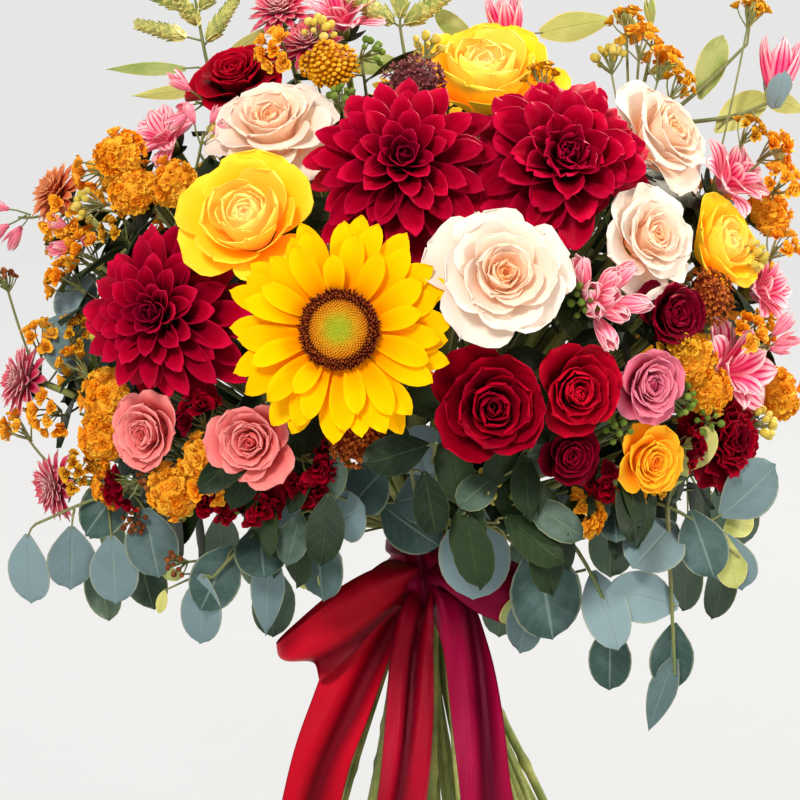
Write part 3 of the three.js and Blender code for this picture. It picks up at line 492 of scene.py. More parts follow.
def petal(bm, form, row, place, marks, rng):
    # row: length, width, start and end lean, curl, root radius and height
    length, width, start, end, curl, root, height = row
    tone, ring = marks
    mark = bm.verts.layers.float_vector["petal"]
    level = bm.verts.layers.float["ring"]
    spots = centreLine(length, start, end, form["ease"])
    phase = rng.uniform(0, 6.28)
    skew = rng.uniform(-1, 1) * form["skew"]
    grid = bmesh.ops.create_grid(bm, x_segments=form["cols"], y_segments=form["rows"], size=0.5)
    for vert in grid["verts"]:
        # u runs across the petal and v along it
        u = -vert.co.x * 2
        v = 1 - (0.5 - vert.co.y) ** 1.3
        side = u * (width / 2 * outline(form, v))
        drop = form["round"] * u * u * v**3 - form["teeth"] * math.sin(u * 17 + phase) * v**8
        reach, rise, lean = onLine(spots, v - drop)
        bend = curl * (1.4 - 0.8 * v)
        if form["hugs"]:
            # upright petals wrap round the heart, so they nest without crossing
            wrap = 1 / max(root + reach, width * 0.16)
            bend += (wrap - bend) * max(0.0, math.sin(lean)) ** 3
        turn = side * bend
        sideways = math.sin(turn) / bend + skew * length * v * v
        wave = form["ruffle"] * width * math.sin(u * form["waves"] + phase) * v * v
        lift = (1 - math.cos(turn)) / bend + wave - form["keel"] * width * (1 - abs(u)) * v
        x = root + reach - math.sin(lean) * lift
        z = height + rise + math.cos(lean) * lift
        vert[mark] = (u, v, tone)
        vert[level] = ring
        vert.co = place @ Vector((x, sideways, z))


def between(stops, share):
    for first, second in zip(stops, stops[1:]):
        if share <= second[0]:
            part = (share - first[0]) / (second[0] - first[0])
            return [a + (b - a) * part for a, b in zip(first[1:], second[1:])]
    return list(stops[-1][1:])


# Forms of petals and leaves. The grid has cols and rows; base, widest, tip, blunt and point
# draw the outline; ease bends the petal late (above 1), round and teeth shape its end, ruffle and
# waves its edge, and keel folds it along the middle. In a flower, crowd packs petals towards the
# heart, loose makes them uneven, hugs wraps them round the heart, yields shortens them before
# other heads, and foot is how far behind the middle the stem ends.
plainForm = {
    "ease": 1.3, "tip": 0.1, "blunt": 2.6, "point": 0.5, "round": 0.05, "ruffle": 0.0, "waves": 2.0,
    "keel": 0.0, "skew": 0.06, "teeth": 0.0, "crowd": 1.0, "loose": 1.0, "hugs": False,
    "yields": False, "foot": 0.42,
}
# A stop: share from the heart outwards, then length, width, start lean, end lean, curl, root
# radius and root height, lengths as shares of the head's radius and curl in turns of it.
sunRays = {
    **plainForm, "count": 48, "cols": 6, "rows": 9, "base": 0.5, "widest": 0.58, "tip": 0.05,
    "blunt": 2.3, "point": 0.68, "round": 0.02, "ruffle": 0.03, "waves": 2.6, "keel": 0.02,
    "crowd": 0.8, "skew": 0.12, "loose": 1.5, "foot": 0.10,
    "stops": [
        (0.0, 0.38, 0.18, 40, 12, 4.0, 0.30, 0.06),
        (0.3, 0.52, 0.22, 24, 2, 3.4, 0.32, 0.04),
        (0.65, 0.62, 0.24, 12, -10, 3.0, 0.33, 0.0),
        (1.0, 0.68, 0.23, 2, -20, 2.6, 0.33, -0.03),
    ],
}
dahliaForm = {
    **plainForm, "count": 84, "cols": 6, "rows": 8, "ease": 1.6, "base": 0.42, "widest": 0.6,
    "tip": 0.16, "blunt": 2.2, "point": 0.62, "round": 0.03, "ruffle": 0.04, "waves": 2.4,
    "crowd": 0.78, "skew": 0.12, "loose": 1.6, "yields": True, "foot": 0.32,
    "stops": [
        (0.0, 0.16, 0.13, 88, 130, 15.0, 0.02, 0.08),
        (0.1, 0.26, 0.20, 84, 102, 12.0, 0.04, 0.06),
        (0.3, 0.48, 0.27, 64, 46, 10.5, 0.07, -0.02),
        (0.55, 0.73, 0.30, 40, 6, 9.5, 0.09, -0.12),
        (0.8, 0.90, 0.31, 18, -18, 8.0, 0.10, -0.20),
        (1.0, 0.98, 0.31, -2, -42, 6.5, 0.10, -0.28),
    ],
}
ruffledDahlia = {
    **dahliaForm, "count": 66, "cols": 8, "tip": 0.3, "point": 0.52, "blunt": 2.6, "ruffle": 0.07,
    "waves": 4.2, "loose": 2.2,
    "stops": [
        (0.0, 0.20, 0.18, 88, 134, 12.0, 0.03, 0.08),
        (0.12, 0.32, 0.28, 82, 100, 9.0, 0.05, 0.04),
        (0.3, 0.50, 0.36, 66, 56, 7.5, 0.08, -0.02),
        (0.55, 0.73, 0.42, 44, 12, 6.5, 0.10, -0.12),
        (0.8, 0.90, 0.44, 22, -12, 5.0, 0.11, -0.20),
        (1.0, 0.98, 0.44, 0, -38, 4.0, 0.11, -0.28),
    ],
}
roseForm = {
    **plainForm, "count": 30, "cols": 10, "rows": 9, "ease": 2.8, "base": 0.42, "widest": 0.64,
    "ruffle": 0.025, "waves": 4.0, "crowd": 0.9, "hugs": True,
    "stops": [
        (0.0, 0.40, 0.18, 90, 97, 13.0, 0.04, -0.04),
        (0.15, 0.45, 0.38, 90, 92, 6.5, 0.08, -0.06),
        (0.35, 0.52, 0.64, 88, 80, 4.0, 0.15, -0.09),
        (0.6, 0.64, 0.86, 80, 38, 2.4, 0.20, -0.15),
        (0.82, 0.82, 1.0, 54, -20, 1.4, 0.20, -0.27),
        (1.0, 0.96, 1.08, 26, -46, 1.0, 0.18, -0.36),
    ],
}
budRose = {
    **roseForm, "count": 26, "rows": 8, "ease": 2.6, "widest": 0.62, "ruffle": 0.03,
    "stops": [
        (0.0, 0.44, 0.22, 90, 98, 12.0, 0.05, -0.04),
        (0.2, 0.52, 0.50, 90, 90, 5.4, 0.11, -0.08),
        (0.5, 0.66, 0.84, 85, 70, 3.0, 0.20, -0.14),
        (0.8, 0.86, 1.06, 70, 22, 1.8, 0.24, -0.26),
        (1.0, 1.02, 1.16, 50, -18, 1.2, 0.23, -0.36),
    ],
}
ranunculusForm = {
    **roseForm, "rows": 8, "ease": 1.9, "base": 0.45, "widest": 0.66, "blunt": 2.8, "round": 0.03,
    "waves": 3.0, "crowd": 0.85,
    "stops": [
        (0.0, 0.30, 0.30, 90, 130, 5.0, 0.10, 0.0),
        (0.25, 0.46, 0.58, 88, 120, 3.4, 0.18, -0.06),
        (0.5, 0.64, 0.86, 82, 106, 2.2, 0.27, -0.16),
        (0.75, 0.84, 1.0, 60, 74, 1.5, 0.30, -0.28),
        (1.0, 1.0, 1.08, 28, 6, 1.1, 0.26, -0.38),
    ],
}
carnationForm = {
    **plainForm, "count": 46, "cols": 9, "rows": 6, "base": 0.3, "widest": 0.85, "tip": 0.75,
    "blunt": 3.0, "round": 0.16, "ruffle": 0.09, "waves": 5.0, "teeth": 0.035,
    "stops": [
        (0.0, 0.52, 0.44, 86, 80, 1.4, 0.03, -0.04),
        (0.5, 0.74, 0.62, 60, 44, 1.0, 0.08, -0.16),
        (1.0, 0.96, 0.72, 22, -10, 0.7, 0.12, -0.30),
    ],
}
mumForm = {
    **plainForm, "count": 84, "cols": 2, "rows": 6, "ease": 1.6, "base": 0.6, "widest": 0.66,
    "tip": 0.2, "point": 0.6, "round": 0.1, "crowd": 0.75, "foot": 0.30,
    "stops": [
        (0.0, 0.24, 0.13, 84, 124, 9.0, 0.02, 0.14),
        (0.35, 0.50, 0.19, 64, 60, 8.0, 0.07, 0.06),
        (0.7, 0.84, 0.25, 34, 16, 6.0, 0.10, -0.08),
        (1.0, 1.02, 0.27, 2, -18, 5.0, 0.12, -0.18),
    ],
}
lilyForm = {
    **plainForm, "count": 14, "cols": 6, "rows": 8, "base": 0.2, "widest": 0.64, "tip": 0.06,
    "blunt": 2.0, "point": 0.66, "round": 0.04, "ruffle": 0.04, "waves": 3.4, "keel": 0.02, "foot": 0.62,
    "stops": [
        (0.0, 0.98, 0.46, 80, 50, 2.6, 0.04, -0.45),
        (0.5, 1.18, 0.62, 64, 16, 2.0, 0.06, -0.52),
        (1.0, 1.28, 0.74, 46, -10, 1.6, 0.07, -0.56),
    ],
}
combFloret = {
    **plainForm, "cols": 3, "rows": 3, "ease": 1.2, "base": 0.4, "widest": 0.7, "tip": 0.5, "blunt": 2.4,
    "point": 0.6, "round": 0.1, "ruffle": 0.16, "waves": 6.0, "skew": 0.2,
}
starFloret = {
    **plainForm, "cols": 2, "rows": 2, "ease": 1.2, "base": 0.6, "widest": 0.5, "tip": 0.2, "blunt": 2.0,
    "point": 0.8, "round": 0.1, "keel": 0.1,
}
budPetal = {
    **plainForm, "cols": 4, "rows": 6, "base": 0.5, "widest": 0.46, "tip": 0.06, "blunt": 2.0,
    "point": 0.7, "skew": 0.1,
}
ovalLeaf = {
    **plainForm, "cols": 6, "rows": 9, "ease": 1.0, "base": 0.12, "widest": 0.5, "tip": 0.05,
    "blunt": 2.3, "point": 0.56, "round": 0.02, "ruffle": 0.02, "waves": 2.6, "keel": -0.05, "skew": 0.08,
}
narrowLeaf = {**ovalLeaf, "base": 0.3, "widest": 0.4, "tip": 0.03, "blunt": 1.6, "point": 0.9}
fillLeaf = {**ovalLeaf, "cols": 2, "rows": 6, "keel": -0.16}
cupPetal = {**ovalLeaf, "base": 0.7, "widest": 0.3, "blunt": 1.5, "keel": 0.0, "cols": 2, "rows": 4}

# crimson petals: the near-black root, running from the base almost to the tip, is painted shade, and the
# rim on the tips and edges is a painted highlight
crimsonTones = {
    "root": (0.03, 0.0, 0.004), "body": (0.56, 0.0, 0.020), "rim": (0.90, 0.008, 0.075),
    "shade": (0.11, 0.0, 0.009), "gloss": 0.3, "depth": 0.55, "ribs": 0.25,
    "rootFrom": 0.3, "rootEnd": 1.0, "rimShare": 0.7, "rimFrom": 0.84,
}
pinkTones = {"heartEnd": 0.5, "depth": 0.4, "ribs": 0.25, "glow": 0.04, "rootFrom": 0.2, "rootEnd": 0.95}
petalTones = {
    "sun": {
        "root": (0.94, 0.20, 0.0), "body": (1.0, 0.50, 0.0), "rim": (1.0, 0.62, 0.002),
        "shade": (0.96, 0.32, 0.0), "ribs": 0.5, "rootEnd": 0.6, "gloss": 0.15, "depth": 0.4,
        "glow": 0.08,
    },
    "dahlia": {**crimsonTones, "heart": (0.05, 0.0, 0.02), "heartEnd": 0.32, "ribs": 0.5},
    "crimson": {
        **crimsonTones, "body": (0.36, 0.0, 0.009), "rim": (0.62, 0.002, 0.025),
        "heart": (0.10, 0.0, 0.006), "heartEnd": 0.5,
    },
    "red": {
        **crimsonTones, "root": (0.08, 0.0, 0.004), "body": (0.46, 0.0, 0.014),
        "rim": (0.78, 0.006, 0.03), "shade": (0.16, 0.0, 0.006),
    },
    "dark": {
        **crimsonTones, "body": (0.18, 0.0, 0.01), "rim": (0.36, 0.0, 0.025),
        "shade": (0.04, 0.0, 0.004),
    },
    "cream": {
        "root": (0.98, 0.42, 0.14), "body": (0.84, 0.70, 0.57), "rim": (0.84, 0.78, 0.71),
        "heart": (1.0, 0.44, 0.12), "heartEnd": 0.84, "shade": (0.90, 0.62, 0.44),
        "depth": 0.28, "ribs": 0.35, "glow": 0.1,
    },
    "golden": {
        "root": (1.0, 0.28, 0.0), "body": (1.0, 0.56, 0.01), "rim": (1.0, 0.70, 0.05),
        "heart": (1.0, 0.84, 0.38), "heartEnd": 0.8, "shade": (1.0, 0.38, 0.0),
        "depth": 0.3, "ribs": 0.2, "glow": 0.2,
    },
    "coral": {
        **pinkTones, "root": (0.46, 0.012, 0.02), "body": (0.90, 0.17, 0.15),
        "rim": (0.98, 0.38, 0.34), "heart": (0.72, 0.05, 0.05), "shade": (0.62, 0.05, 0.06),
    },
    "mauve": {
        **pinkTones, "root": (0.36, 0.01, 0.05), "body": (0.78, 0.11, 0.20),
        "rim": (0.92, 0.32, 0.40), "heart": (0.50, 0.02, 0.08), "shade": (0.46, 0.02, 0.09),
    },
    "amber": {
        "root": (0.86, 0.22, 0.01), "body": (0.94, 0.40, 0.01), "rim": (0.98, 0.56, 0.03),
        "heart": (0.90, 0.12, 0.01), "heartEnd": 0.5, "shade": (0.86, 0.18, 0.0),
        "depth": 0.3, "ribs": 0.25, "glow": 0.08,
    },
    "blush": {
        "root": (0.70, 0.0, 0.12), "body": (0.88, 0.10, 0.22), "rim": (1.0, 0.80, 0.76),
        "streak": (0.62, 0.0, 0.09), "streakShare": 0.95, "lines": 12.0, "shade": (0.76, 0.03, 0.16),
        "rimFrom": 0.62, "rimShare": 1.0, "pale": 0.5, "depth": 0.25, "glow": 0.12,
    },
    "magenta": {
        "root": (0.24, 0.0, 0.03), "body": (0.72, 0.01, 0.09), "rim": (0.90, 0.22, 0.24),
        "shade": (0.20, 0.0, 0.03), "depth": 0.4, "glow": 0.06, "sheen": 0.15,
    },
    "magentaUnder": {
        "root": (0.60, 0.20, 0.24), "body": (0.74, 0.36, 0.38), "rim": (0.84, 0.54, 0.50),
        "shade": (0.50, 0.10, 0.16), "depth": 0.3, "sheen": 0.15,
    },
    "copper": {
        "root": (0.50, 0.03, 0.01), "body": (0.88, 0.19, 0.06), "rim": (0.98, 0.46, 0.20),
        "shade": (0.34, 0.02, 0.01), "sheen": 0.15,
    },
    "saffron": {
        "root": (0.42, 0.03, 0.0), "body": (0.92, 0.24, 0.002), "rim": (1.0, 0.50, 0.02), "pale": 0.8,
        "heart": (1.0, 0.60, 0.05), "heartEnd": 1.0, "shade": (0.62, 0.07, 0.0), "rootEnd": 0.7,
        "glow": 0.06,
    },
    "mustard": {
        "root": (0.40, 0.12, 0.0), "body": (0.84, 0.40, 0.01), "rim": (0.96, 0.58, 0.06),
        "shade": (0.45, 0.12, 0.0), "depth": 0.6,
    },
    "rust": {
        "root": (0.12, 0.014, 0.004), "body": (0.60, 0.13, 0.016), "rim": (0.86, 0.32, 0.06),
        "shade": (0.20, 0.02, 0.008), "depth": 0.6,
    },
    "plum": {
        "root": (0.08, 0.02, 0.02), "body": (0.28, 0.07, 0.08), "rim": (0.50, 0.20, 0.18),
        "shade": (0.10, 0.02, 0.02), "depth": 0.7,
    },
    "blushBud": {
        "root": (0.58, 0.01, 0.10), "body": (0.92, 0.28, 0.36), "rim": (1.0, 0.82, 0.78),
        "streak": (0.72, 0.0, 0.12), "streakShare": 0.7, "lines": 9.0, "shade": (0.86, 0.14, 0.24),
        "depth": 0.3, "rootEnd": 0.4, "glow": 0.12, "gloss": 0.2,
    },
    "green": {
        "root": (0.05, 0.09, 0.01), "body": (0.14, 0.22, 0.03), "rim": (0.30, 0.38, 0.08),
        "shade": (0.06, 0.09, 0.01), "glow": 0.1, "gloss": 0.3,
    },
    "brown": {
        "root": (0.06, 0.016, 0.008), "body": (0.22, 0.06, 0.016), "rim": (0.42, 0.16, 0.05),
        "shade": (0.08, 0.014, 0.008), "glow": 0.1, "gloss": 0.2,
    },
    "lemon": {
        "root": (0.30, 0.30, 0.05), "body": (0.70, 0.52, 0.08), "rim": (0.92, 0.76, 0.26),
        "shade": (0.40, 0.30, 0.04), "glow": 0.08,
    },
}
petalSkins = {name: petalSkin(name + "Petal", look) for name, look in petalTones.items()}
leafTones = {
    "silver": {
        "body": (0.035, 0.075, 0.06), "other": (0.21, 0.30, 0.32), "bloom": (0.26, 0.36, 0.38),
        "bloomShare": 0.2, "patches": 0.2,
        "vein": (0.22, 0.30, 0.26), "rim": (0.36, 0.38, 0.24), "veinShare": 0.06, "glow": 0.03,
    },
    "sage": {
        "body": (0.035, 0.07, 0.045), "other": (0.11, 0.17, 0.12), "bloom": (0.17, 0.24, 0.20),
        "vein": (0.16, 0.22, 0.12), "rim": (0.26, 0.28, 0.12), "veinShare": 0.08,
    },
    # deep: near-black leaves, painted shade in the gaps between and behind the heads
    "deep": {
        "body": (0.006, 0.016, 0.005), "other": (0.02, 0.042, 0.010), "bloom": (0.025, 0.048, 0.02),
        "vein": (0.04, 0.07, 0.02), "rim": (0.04, 0.06, 0.015), "rough": 0.42, "veinShare": 0.15,
    },
    "olive": {
        "body": (0.02, 0.045, 0.010), "other": (0.07, 0.11, 0.022), "bloom": (0.08, 0.12, 0.045),
        "vein": (0.10, 0.14, 0.04), "rim": (0.16, 0.18, 0.05), "rough": 0.42, "veinShare": 0.12,
    },
    "fresh": {
        "body": (0.24, 0.31, 0.07), "other": (0.56, 0.54, 0.15), "bloom": (0.66, 0.62, 0.28),
        "vein": (0.44, 0.46, 0.14), "rim": (0.84, 0.70, 0.24), "veinShare": 0.15, "glow": 0.06,
    },
}
leafSkins = {name: leafSkin(name + "Leaf", look) for name, look in leafTones.items()}

# node: form, skin, then heads as across, up, depth, size, turn and tip
frontHeads = {
    "sunflower_petals": (sunRays, "sun", [(-49, 354, -175, 113, -6, 14)]),
    "dahlia_left": (dahliaForm, "dahlia", [(-155, 363, -108, 98, -26, 12)]),
    "dahlia_top": (dahliaForm, "dahlia", [(-11, 452, -122, 100, 0, 28)]),
    "dahlia_right": (ruffledDahlia, "dahlia", [(83, 452, -108, 100, 10, 28)]),
    "rose_white_centre": (roseForm, "cream", [(46, 385, -172, 73, 8, 22)]),
    "rose_white_upper_left": (roseForm, "cream", [(-87, 470, -62, 76, -14, 50)]),
    "rose_white_upper_right": (roseForm, "cream", [(139, 466, -48, 70, 52, 34)]),
    "rose_white_right": (roseForm, "cream", [(132, 408, -110, 62, 34, 20)]),
    "ranunculus_left": (ranunculusForm, "golden", [(-102, 418, -116, 70, -14, 34)]),
    "ranunculus_top": (ranunculusForm, "golden", [(37, 500, -22, 80, 4, 58)]),
    "ranunculus_right": (ranunculusForm, "golden", [(176, 404, -56, 54, 50, 24)]),
    "rose_crimson_large": (budRose, "crimson", [(41, 309, -166, 66, 4, 8)]),
    "rose_red": (budRose, "red", [(89, 318, -152, 52, 20, 6)]),
    "rose_crimson_small": (budRose, "dark", [(87, 280, -146, 34, 20, 2)]),
    "rose_crimson_top": (roseForm, "red", [(-107, 499, -18, 58, -24, 52)]),
    "rose_crimson_right": (budRose, "dark", [(146, 364, -112, 43, 34, 8)]),
    "carnation_right": (carnationForm, "crimson", [(181, 290, -74, 57, 44, 6)]),
    "rose_pink_left": (budRose, "coral", [(-161, 294, -104, 48, -32, 2)]),
    "rose_pink_middle": (budRose, "coral", [(-101, 289, -150, 48, -14, 4)]),
    "rose_pink_right": (budRose, "mauve", [(133, 322, -128, 46, 26, 6)]),
    "rose_orange": (budRose, "amber", [(134, 277, -124, 44, 30, 0)]),
    "alstroemeria_right_high": (lilyForm, "blush", [(186, 445, -26, 46, 54, 34)]),
    "alstroemeria_right_low": (lilyForm, "blush", [(188, 330, -76, 52, 40, 14)]),
    "alstroemeria_right_far": (lilyForm, "blush", [(207, 379, -36, 40, 60, 18)]),
    "alstroemeria_top": (lilyForm, "blush", [(-47, 540, 12, 44, -12, 62)]),
    "alstroemeria_left": (lilyForm, "blush", [(-152, 470, -16, 36, -34, 40)]),
    "mum_left": (mumForm, "magenta", [(-238, 325, -28, 40, -64, 16)]),
    "mum_lower_left": (mumForm, "magenta", [(-221, 261, -40, 36, -56, -4)]),
    "mum_upper_left": (mumForm, "copper", [(-215, 436, -18, 36, -56, 34)]),
    "mums_top": (mumForm, "magenta", [(-82, 540, 2, 34, -18, 58), (-66, 521, -12, 36, -12, 54)]),
}
# node: form, skin, then heads as azimuth, elevation, reach and size
backHeads = {
    "dahlias_back": (dahliaForm, "dahlia", [(166, 37, 226, 102), (193, 42, 228, 102)]),
    "roses_white_back": (roseForm, "cream", [(142, 60, 246, 78), (121, 49, 238, 76)]),
    "roses_crimson_back": (roseForm, "crimson", [(218, 62, 248, 76), (232, 47, 240, 76)]),
    "ranunculus_back": (ranunculusForm, "golden", [(178, 64, 250, 74), (183, 77, 256, 62)]),
    "roses_pink_back": (budRose, "coral", [(226, 22, 218, 62), (246, 30, 222, 62)]),
    "roses_orange_back": (budRose, "amber", [(134, 22, 216, 62), (114, 29, 218, 60)]),
    "mum_back": (mumForm, "magenta", [(207, 13, 212, 46)]),
}
# dense heads of many florets, small stars or beads
denseHeads = {
    "celosia_upper_left": ("comb", "saffron", [
        (-177, 458, -54, 30, -34, 40), (-169, 436, -60, 31, -34, 36),
        (-146, 441, -66, 30, -26, 40)]),
    "celosia_left": ("comb", "saffron", [
        (-188, 315, -78, 34, -44, 12), (-191, 291, -78, 32, -44, 2),
        (-150, 258, -108, 32, -34, -6), (-130, 277, -122, 30, -28, 0)]),
    "celosia_right": ("comb", "saffron", [
        (161, 337, -104, 30, 34, 12), (172, 318, -98, 28, 36, 8)]),
    "celosia_far_right": ("comb", "saffron", [(213, 316, -34, 34, 60, 6)]),
    "marigold_right": ("comb", "saffron", [(205, 424, -2, 32, 66, 28)]),
    "yarrow_top": ("beads", "mustard", [(-53, 509, -36, 34, -8, 52)]),
    "sedum_front": ("stars", "rust", [(-39, 291, -164, 32, -6, 4)]),
    "sedum_right": ("stars", "rust", [(171, 375, -86, 32, 44, 20)]),
    "sedum_top": ("stars", "plum", [(-4, 500, -58, 34, 0, 54)]),
}
denseBack = {
    "celosia_back": ("comb", "saffron", [(181, 13, 208, 42), (171, 11, 208, 40), (191, 14, 208, 40)]),
}
budHeads = {"bud_cluster": ("buds", "blushBud", [(106, 372, -138, 46, 22, 16)])}

tie = Vector((0, 0, 0.24))
frontFullness = 1.12


def frontHead(node, kind, item, seed):
    spread, up, depth, size, turn, tip = item
    spot = seen(spread, up, depth)
    return {"node": node, "kind": kind, "spot": spot, "look": facing(turn, tip),
            "radius": size / 2 * mm * frontFullness, "seed": seed, "many": False}


def backHead(node, kind, item, seed):
    azimuth, elevation, reach, size = item
    spot = tie + facing(azimuth, elevation) * reach * mm
    return {"node": node, "kind": kind, "spot": spot, "seed": seed, "many": True,
            "look": facing(azimuth, min(elevation * 1.05, 86)), "radius": size / 2 * mm}


heads = []
for source, make in ((frontHeads, frontHead), (denseHeads, frontHead), (budHeads, frontHead),
                     (backHeads, backHead), (denseBack, backHead)):
    for node, (kind, skin, items) in source.items():
        for item in items:
            heads.append(make(node, kind, item, 101 + 7 * len(heads)))


# near neighbours squeeze a head, down to the least share of its radius, and lift is how many
# degrees its petals then stand up; many is the share of its petals that a back head keeps
crowding = {"near": 1.35, "overlap": 1.04, "least": 0.6, "fixed": 0.7, "lift": 62, "many": 0.8}
# a petal that yields is shortened to a share of its length, in a few tries, until its tip is
# out of another head's drum
yielding = {"near": 1.2, "tries": 6, "share": 0.9, "margin": 0.95, "back": -0.4, "front": 0.6}


def headPlace(head):
    return Matrix.Translation(head["spot"]) @ aimed(head["look"]) @ turned(head["seed"] * 0.7)


def room(head, outward):
    # how much of its radius a head has free in one direction, among its neighbours
    free = 1.0
    for other in heads:
        line = other["spot"] - head["spot"]
        both = head["radius"] + other["radius"]
        towards = outward.dot(line.normalized())
        if other is not head and line.length < both * crowding["near"] and towards > 0.05:
            free = min(free, line.length / both / towards * crowding["overlap"])
    return max(free, crowding["least"])


def within(head, spot, margin, back, front):
    # whether a spot lies in the flat drum that a head fills, in shares of its radius
    line = spot - head["spot"]
    before = line.dot(head["look"])
    wide = (line - head["look"] * before).length
    radius = head["radius"]
    return wide < margin * radius and back * radius < before < front * radius


def clearLength(head, form, shaped, placed):
    # a dahlia petal gives way until its tip is clear of the other kinds of heads
    length = shaped[0]
    drum = (yielding["margin"], yielding["back"], yielding["front"])
    near = []
    for other in heads:
        reach = (other["radius"] + head["radius"]) * yielding["near"]
        if not isinstance(other["kind"], dict) or not other["kind"]["yields"]:
            if (other["spot"] - head["spot"]).length < reach:
                near.append(other)
    for _ in range(yielding["tries"]):
        tip = centreLine(length, shaped[2], shaped[3], form["ease"])[-1]
        spot = placed @ Vector((shaped[5] + tip[0], 0, shaped[6] + tip[1]))
        if not any(within(other, spot, *drum) for other in near):
            break
        length *= yielding["share"]
    return length


def bloom(bm, head, form):
    rng = random.Random(head["seed"])
    place = headPlace(head)
    radius = head["radius"]
    count = round(form["count"] * (crowding["many"] if head["many"] else 1.0))
    for i in range(count):
        share = ((i + 0.5) / count) ** form["crowd"]
        row = between(form["stops"], share)
        turn = i * goldenTurn + rng.uniform(-0.12, 0.12)
        outward = place.to_3x3() @ around(turn)
        squeeze = 1.0 - (1.0 - room(head, outward)) * share
        loose = form["loose"]
        grow = radius * (crowding["fixed"] + (1.0 - crowding["fixed"]) * squeeze)
        grow *= rng.uniform(1.0 - 0.06 * loose, 1.0 + 0.03 * loose)
        lift = (1.0 - squeeze) * crowding["lift"] + rng.uniform(-5, 5) * loose
        placed = place @ turned(turn) @ turned(rng.uniform(-0.07, 0.07), "X")
        shaped = [row[0] * grow, row[1] * radius * rng.uniform(0.92, 1.06), row[2] + lift,
                  row[3] + lift + rng.uniform(-6, 6), row[4] / radius, row[5] * radius,
                  row[6] * radius]
        if form["yields"]:
            shaped[0] = clearLength(head, form, shaped, placed)
        petal(bm, form, shaped, placed, (rng.random(), share), rng)


def growHeads(source, grow, thick=0.0):
    for node, (kind, skin, items) in source.items():
        bm = startMesh()
        for head in heads:
            if head["node"] == node:
                part = startMesh()
                grow(part, head, kind)
                absorb(bm, part)
        under = petalSkins["magentaUnder"] if skin == "magenta" else None
        finishMesh(bm, node + "_bloom", [node], petalSkins[skin], thick=thick, under=under)


growHeads(frontHeads, bloom, petalWall)
growHeads(backHeads, bloom, petalWall)
print("blooms made")


# Dense heads: a slim core covered by many small florets, whose size is a share of the
# head's radius.
dense = {
    "comb": {"count": 30, "flatten": 0.85, "sunk": 0.22, "size": (0.26, 0.38)},
    "stars": {"count": 74, "flatten": 0.7, "sunk": 0.1, "size": (0.2, 0.28)},
    "beads": {"count": 170, "flatten": 0.6, "sunk": 0.1, "size": (0.07, 0.10)},
}
coreShare = 0.72
lowestFloret = -0.55


def domeSpot(i, count, lowest):
    # evenly spread spots on a ball, from its top down to the lowest height
    height = 1 - (1 - lowest) * (i + 0.5) / count
    return around(i * goldenTurn, math.sqrt(1 - height * height), height)


def doubleFloret(bm, place, size, tint, rng):
    # a small round flower of eight petals on place's +Z axis
    for k in range(8):
        share = k / 8
        row = (size * (0.8 + 0.35 * share), size * 0.95, 86 - 56 * share, 84 - 84 * share, 1.3 / size,
               size * 0.05, 0.0)
        placed = place @ turned(k * goldenTurn + rng.uniform(-0.2, 0.2))
        petal(bm, combFloret, row, placed, (rng.random() * 0.6, tint), rng)


def addBall(bm, place, size, smooth, mark):
    made = bmesh.ops.create_icosphere(bm, subdivisions=smooth, radius=size, matrix=place)
    markAll(bm, made["verts"], mark)


def denseHead(bm, head, kind):
    rng = random.Random(head["seed"])
    look = dense[kind]
    radius = head["radius"]
    place = headPlace(head) @ Matrix.Diagonal((1, 1, look["flatten"], 1))
    addBall(bm, place, radius * coreShare, 2, (0.0, 0.0, 0.9))
    for i in range(look["count"]):
        spot = domeSpot(i, look["count"], lowestFloret)
        lumps = 0.84 + 0.14 * math.sin(spot.x * 5 + head["seed"]) * math.sin(spot.y * 5 + 1)
        root = place @ Matrix.Translation(spot * radius * (lumps - look["sunk"])) @ aimed(spot)
        if kind == "beads":
            size = radius * rng.uniform(*look["size"])
            stand = root @ Matrix.Translation((0, 0, radius * 0.1))
            addBall(bm, stand, size, 1, (0.0, rng.uniform(0.3, 1.0), rng.random()))
        elif kind == "comb":
            doubleFloret(bm, root, radius * rng.uniform(*look["size"]), rng.random(), rng)
        else:
            for k in range(4):
                placed = root @ turned(k * 6.283 / 4 + rng.uniform(0, 1.5))
                row = (radius * rng.uniform(*look["size"]), radius * 0.12, 62, 20, 6.0 / radius,
                       radius * 0.02, 0)
                petal(bm, starFloret, row, placed, (rng.random(), 0.6), rng)


growHeads(denseHeads, denseHead)
growHeads(denseBack, denseHead)
print("dense heads made")

# Sunflower heart: a low dome of packed florets, green in the middle and dark outside.
# share is its part of the head's radius, proud its height, dome how far it bulges for its
# width, and ring where the tall florets begin
heart = {"share": 0.325, "count": 760, "proud": 0.07, "ring": 0.76, "dome": 0.3}


def heartSkin():
    shade = Shade("sunHeart")
    part, tipped, tone = shade.split("petal")
    colour = shade.add("ShaderNodeValToRGB", {"stops": [
        (0.0, (0.24, 0.34, 0.01)), (0.25, (0.36, 0.38, 0.01)), (0.5, (0.70, 0.34, 0.006)),
        (0.7, (0.72, 0.22, 0.004)), (0.78, (0.16, 0.02, 0.004)), (1.0, (0.11, 0.012, 0.004)),
    ]}, {0: part}).out(0)
    tips = shade.mix(part.held(0.68, 0.8), (0.78, 0.44, 0.02), (0.52, 0.10, 0.012))
    colour = shade.mix(tipped.held(0.55, 1.0) * (0.1 + tone * 0.5), colour, tips)
    grain = shade.noise(shade.place(), 1600.0, 2.0)
    return shade.finish({
        "Base Color": colour,
        "Roughness": 0.6 + grain * 0.25,
        "Specular IOR Level": 0.15,
        "Normal": shade.bump(grain, 0.4, 0.0006),
    })


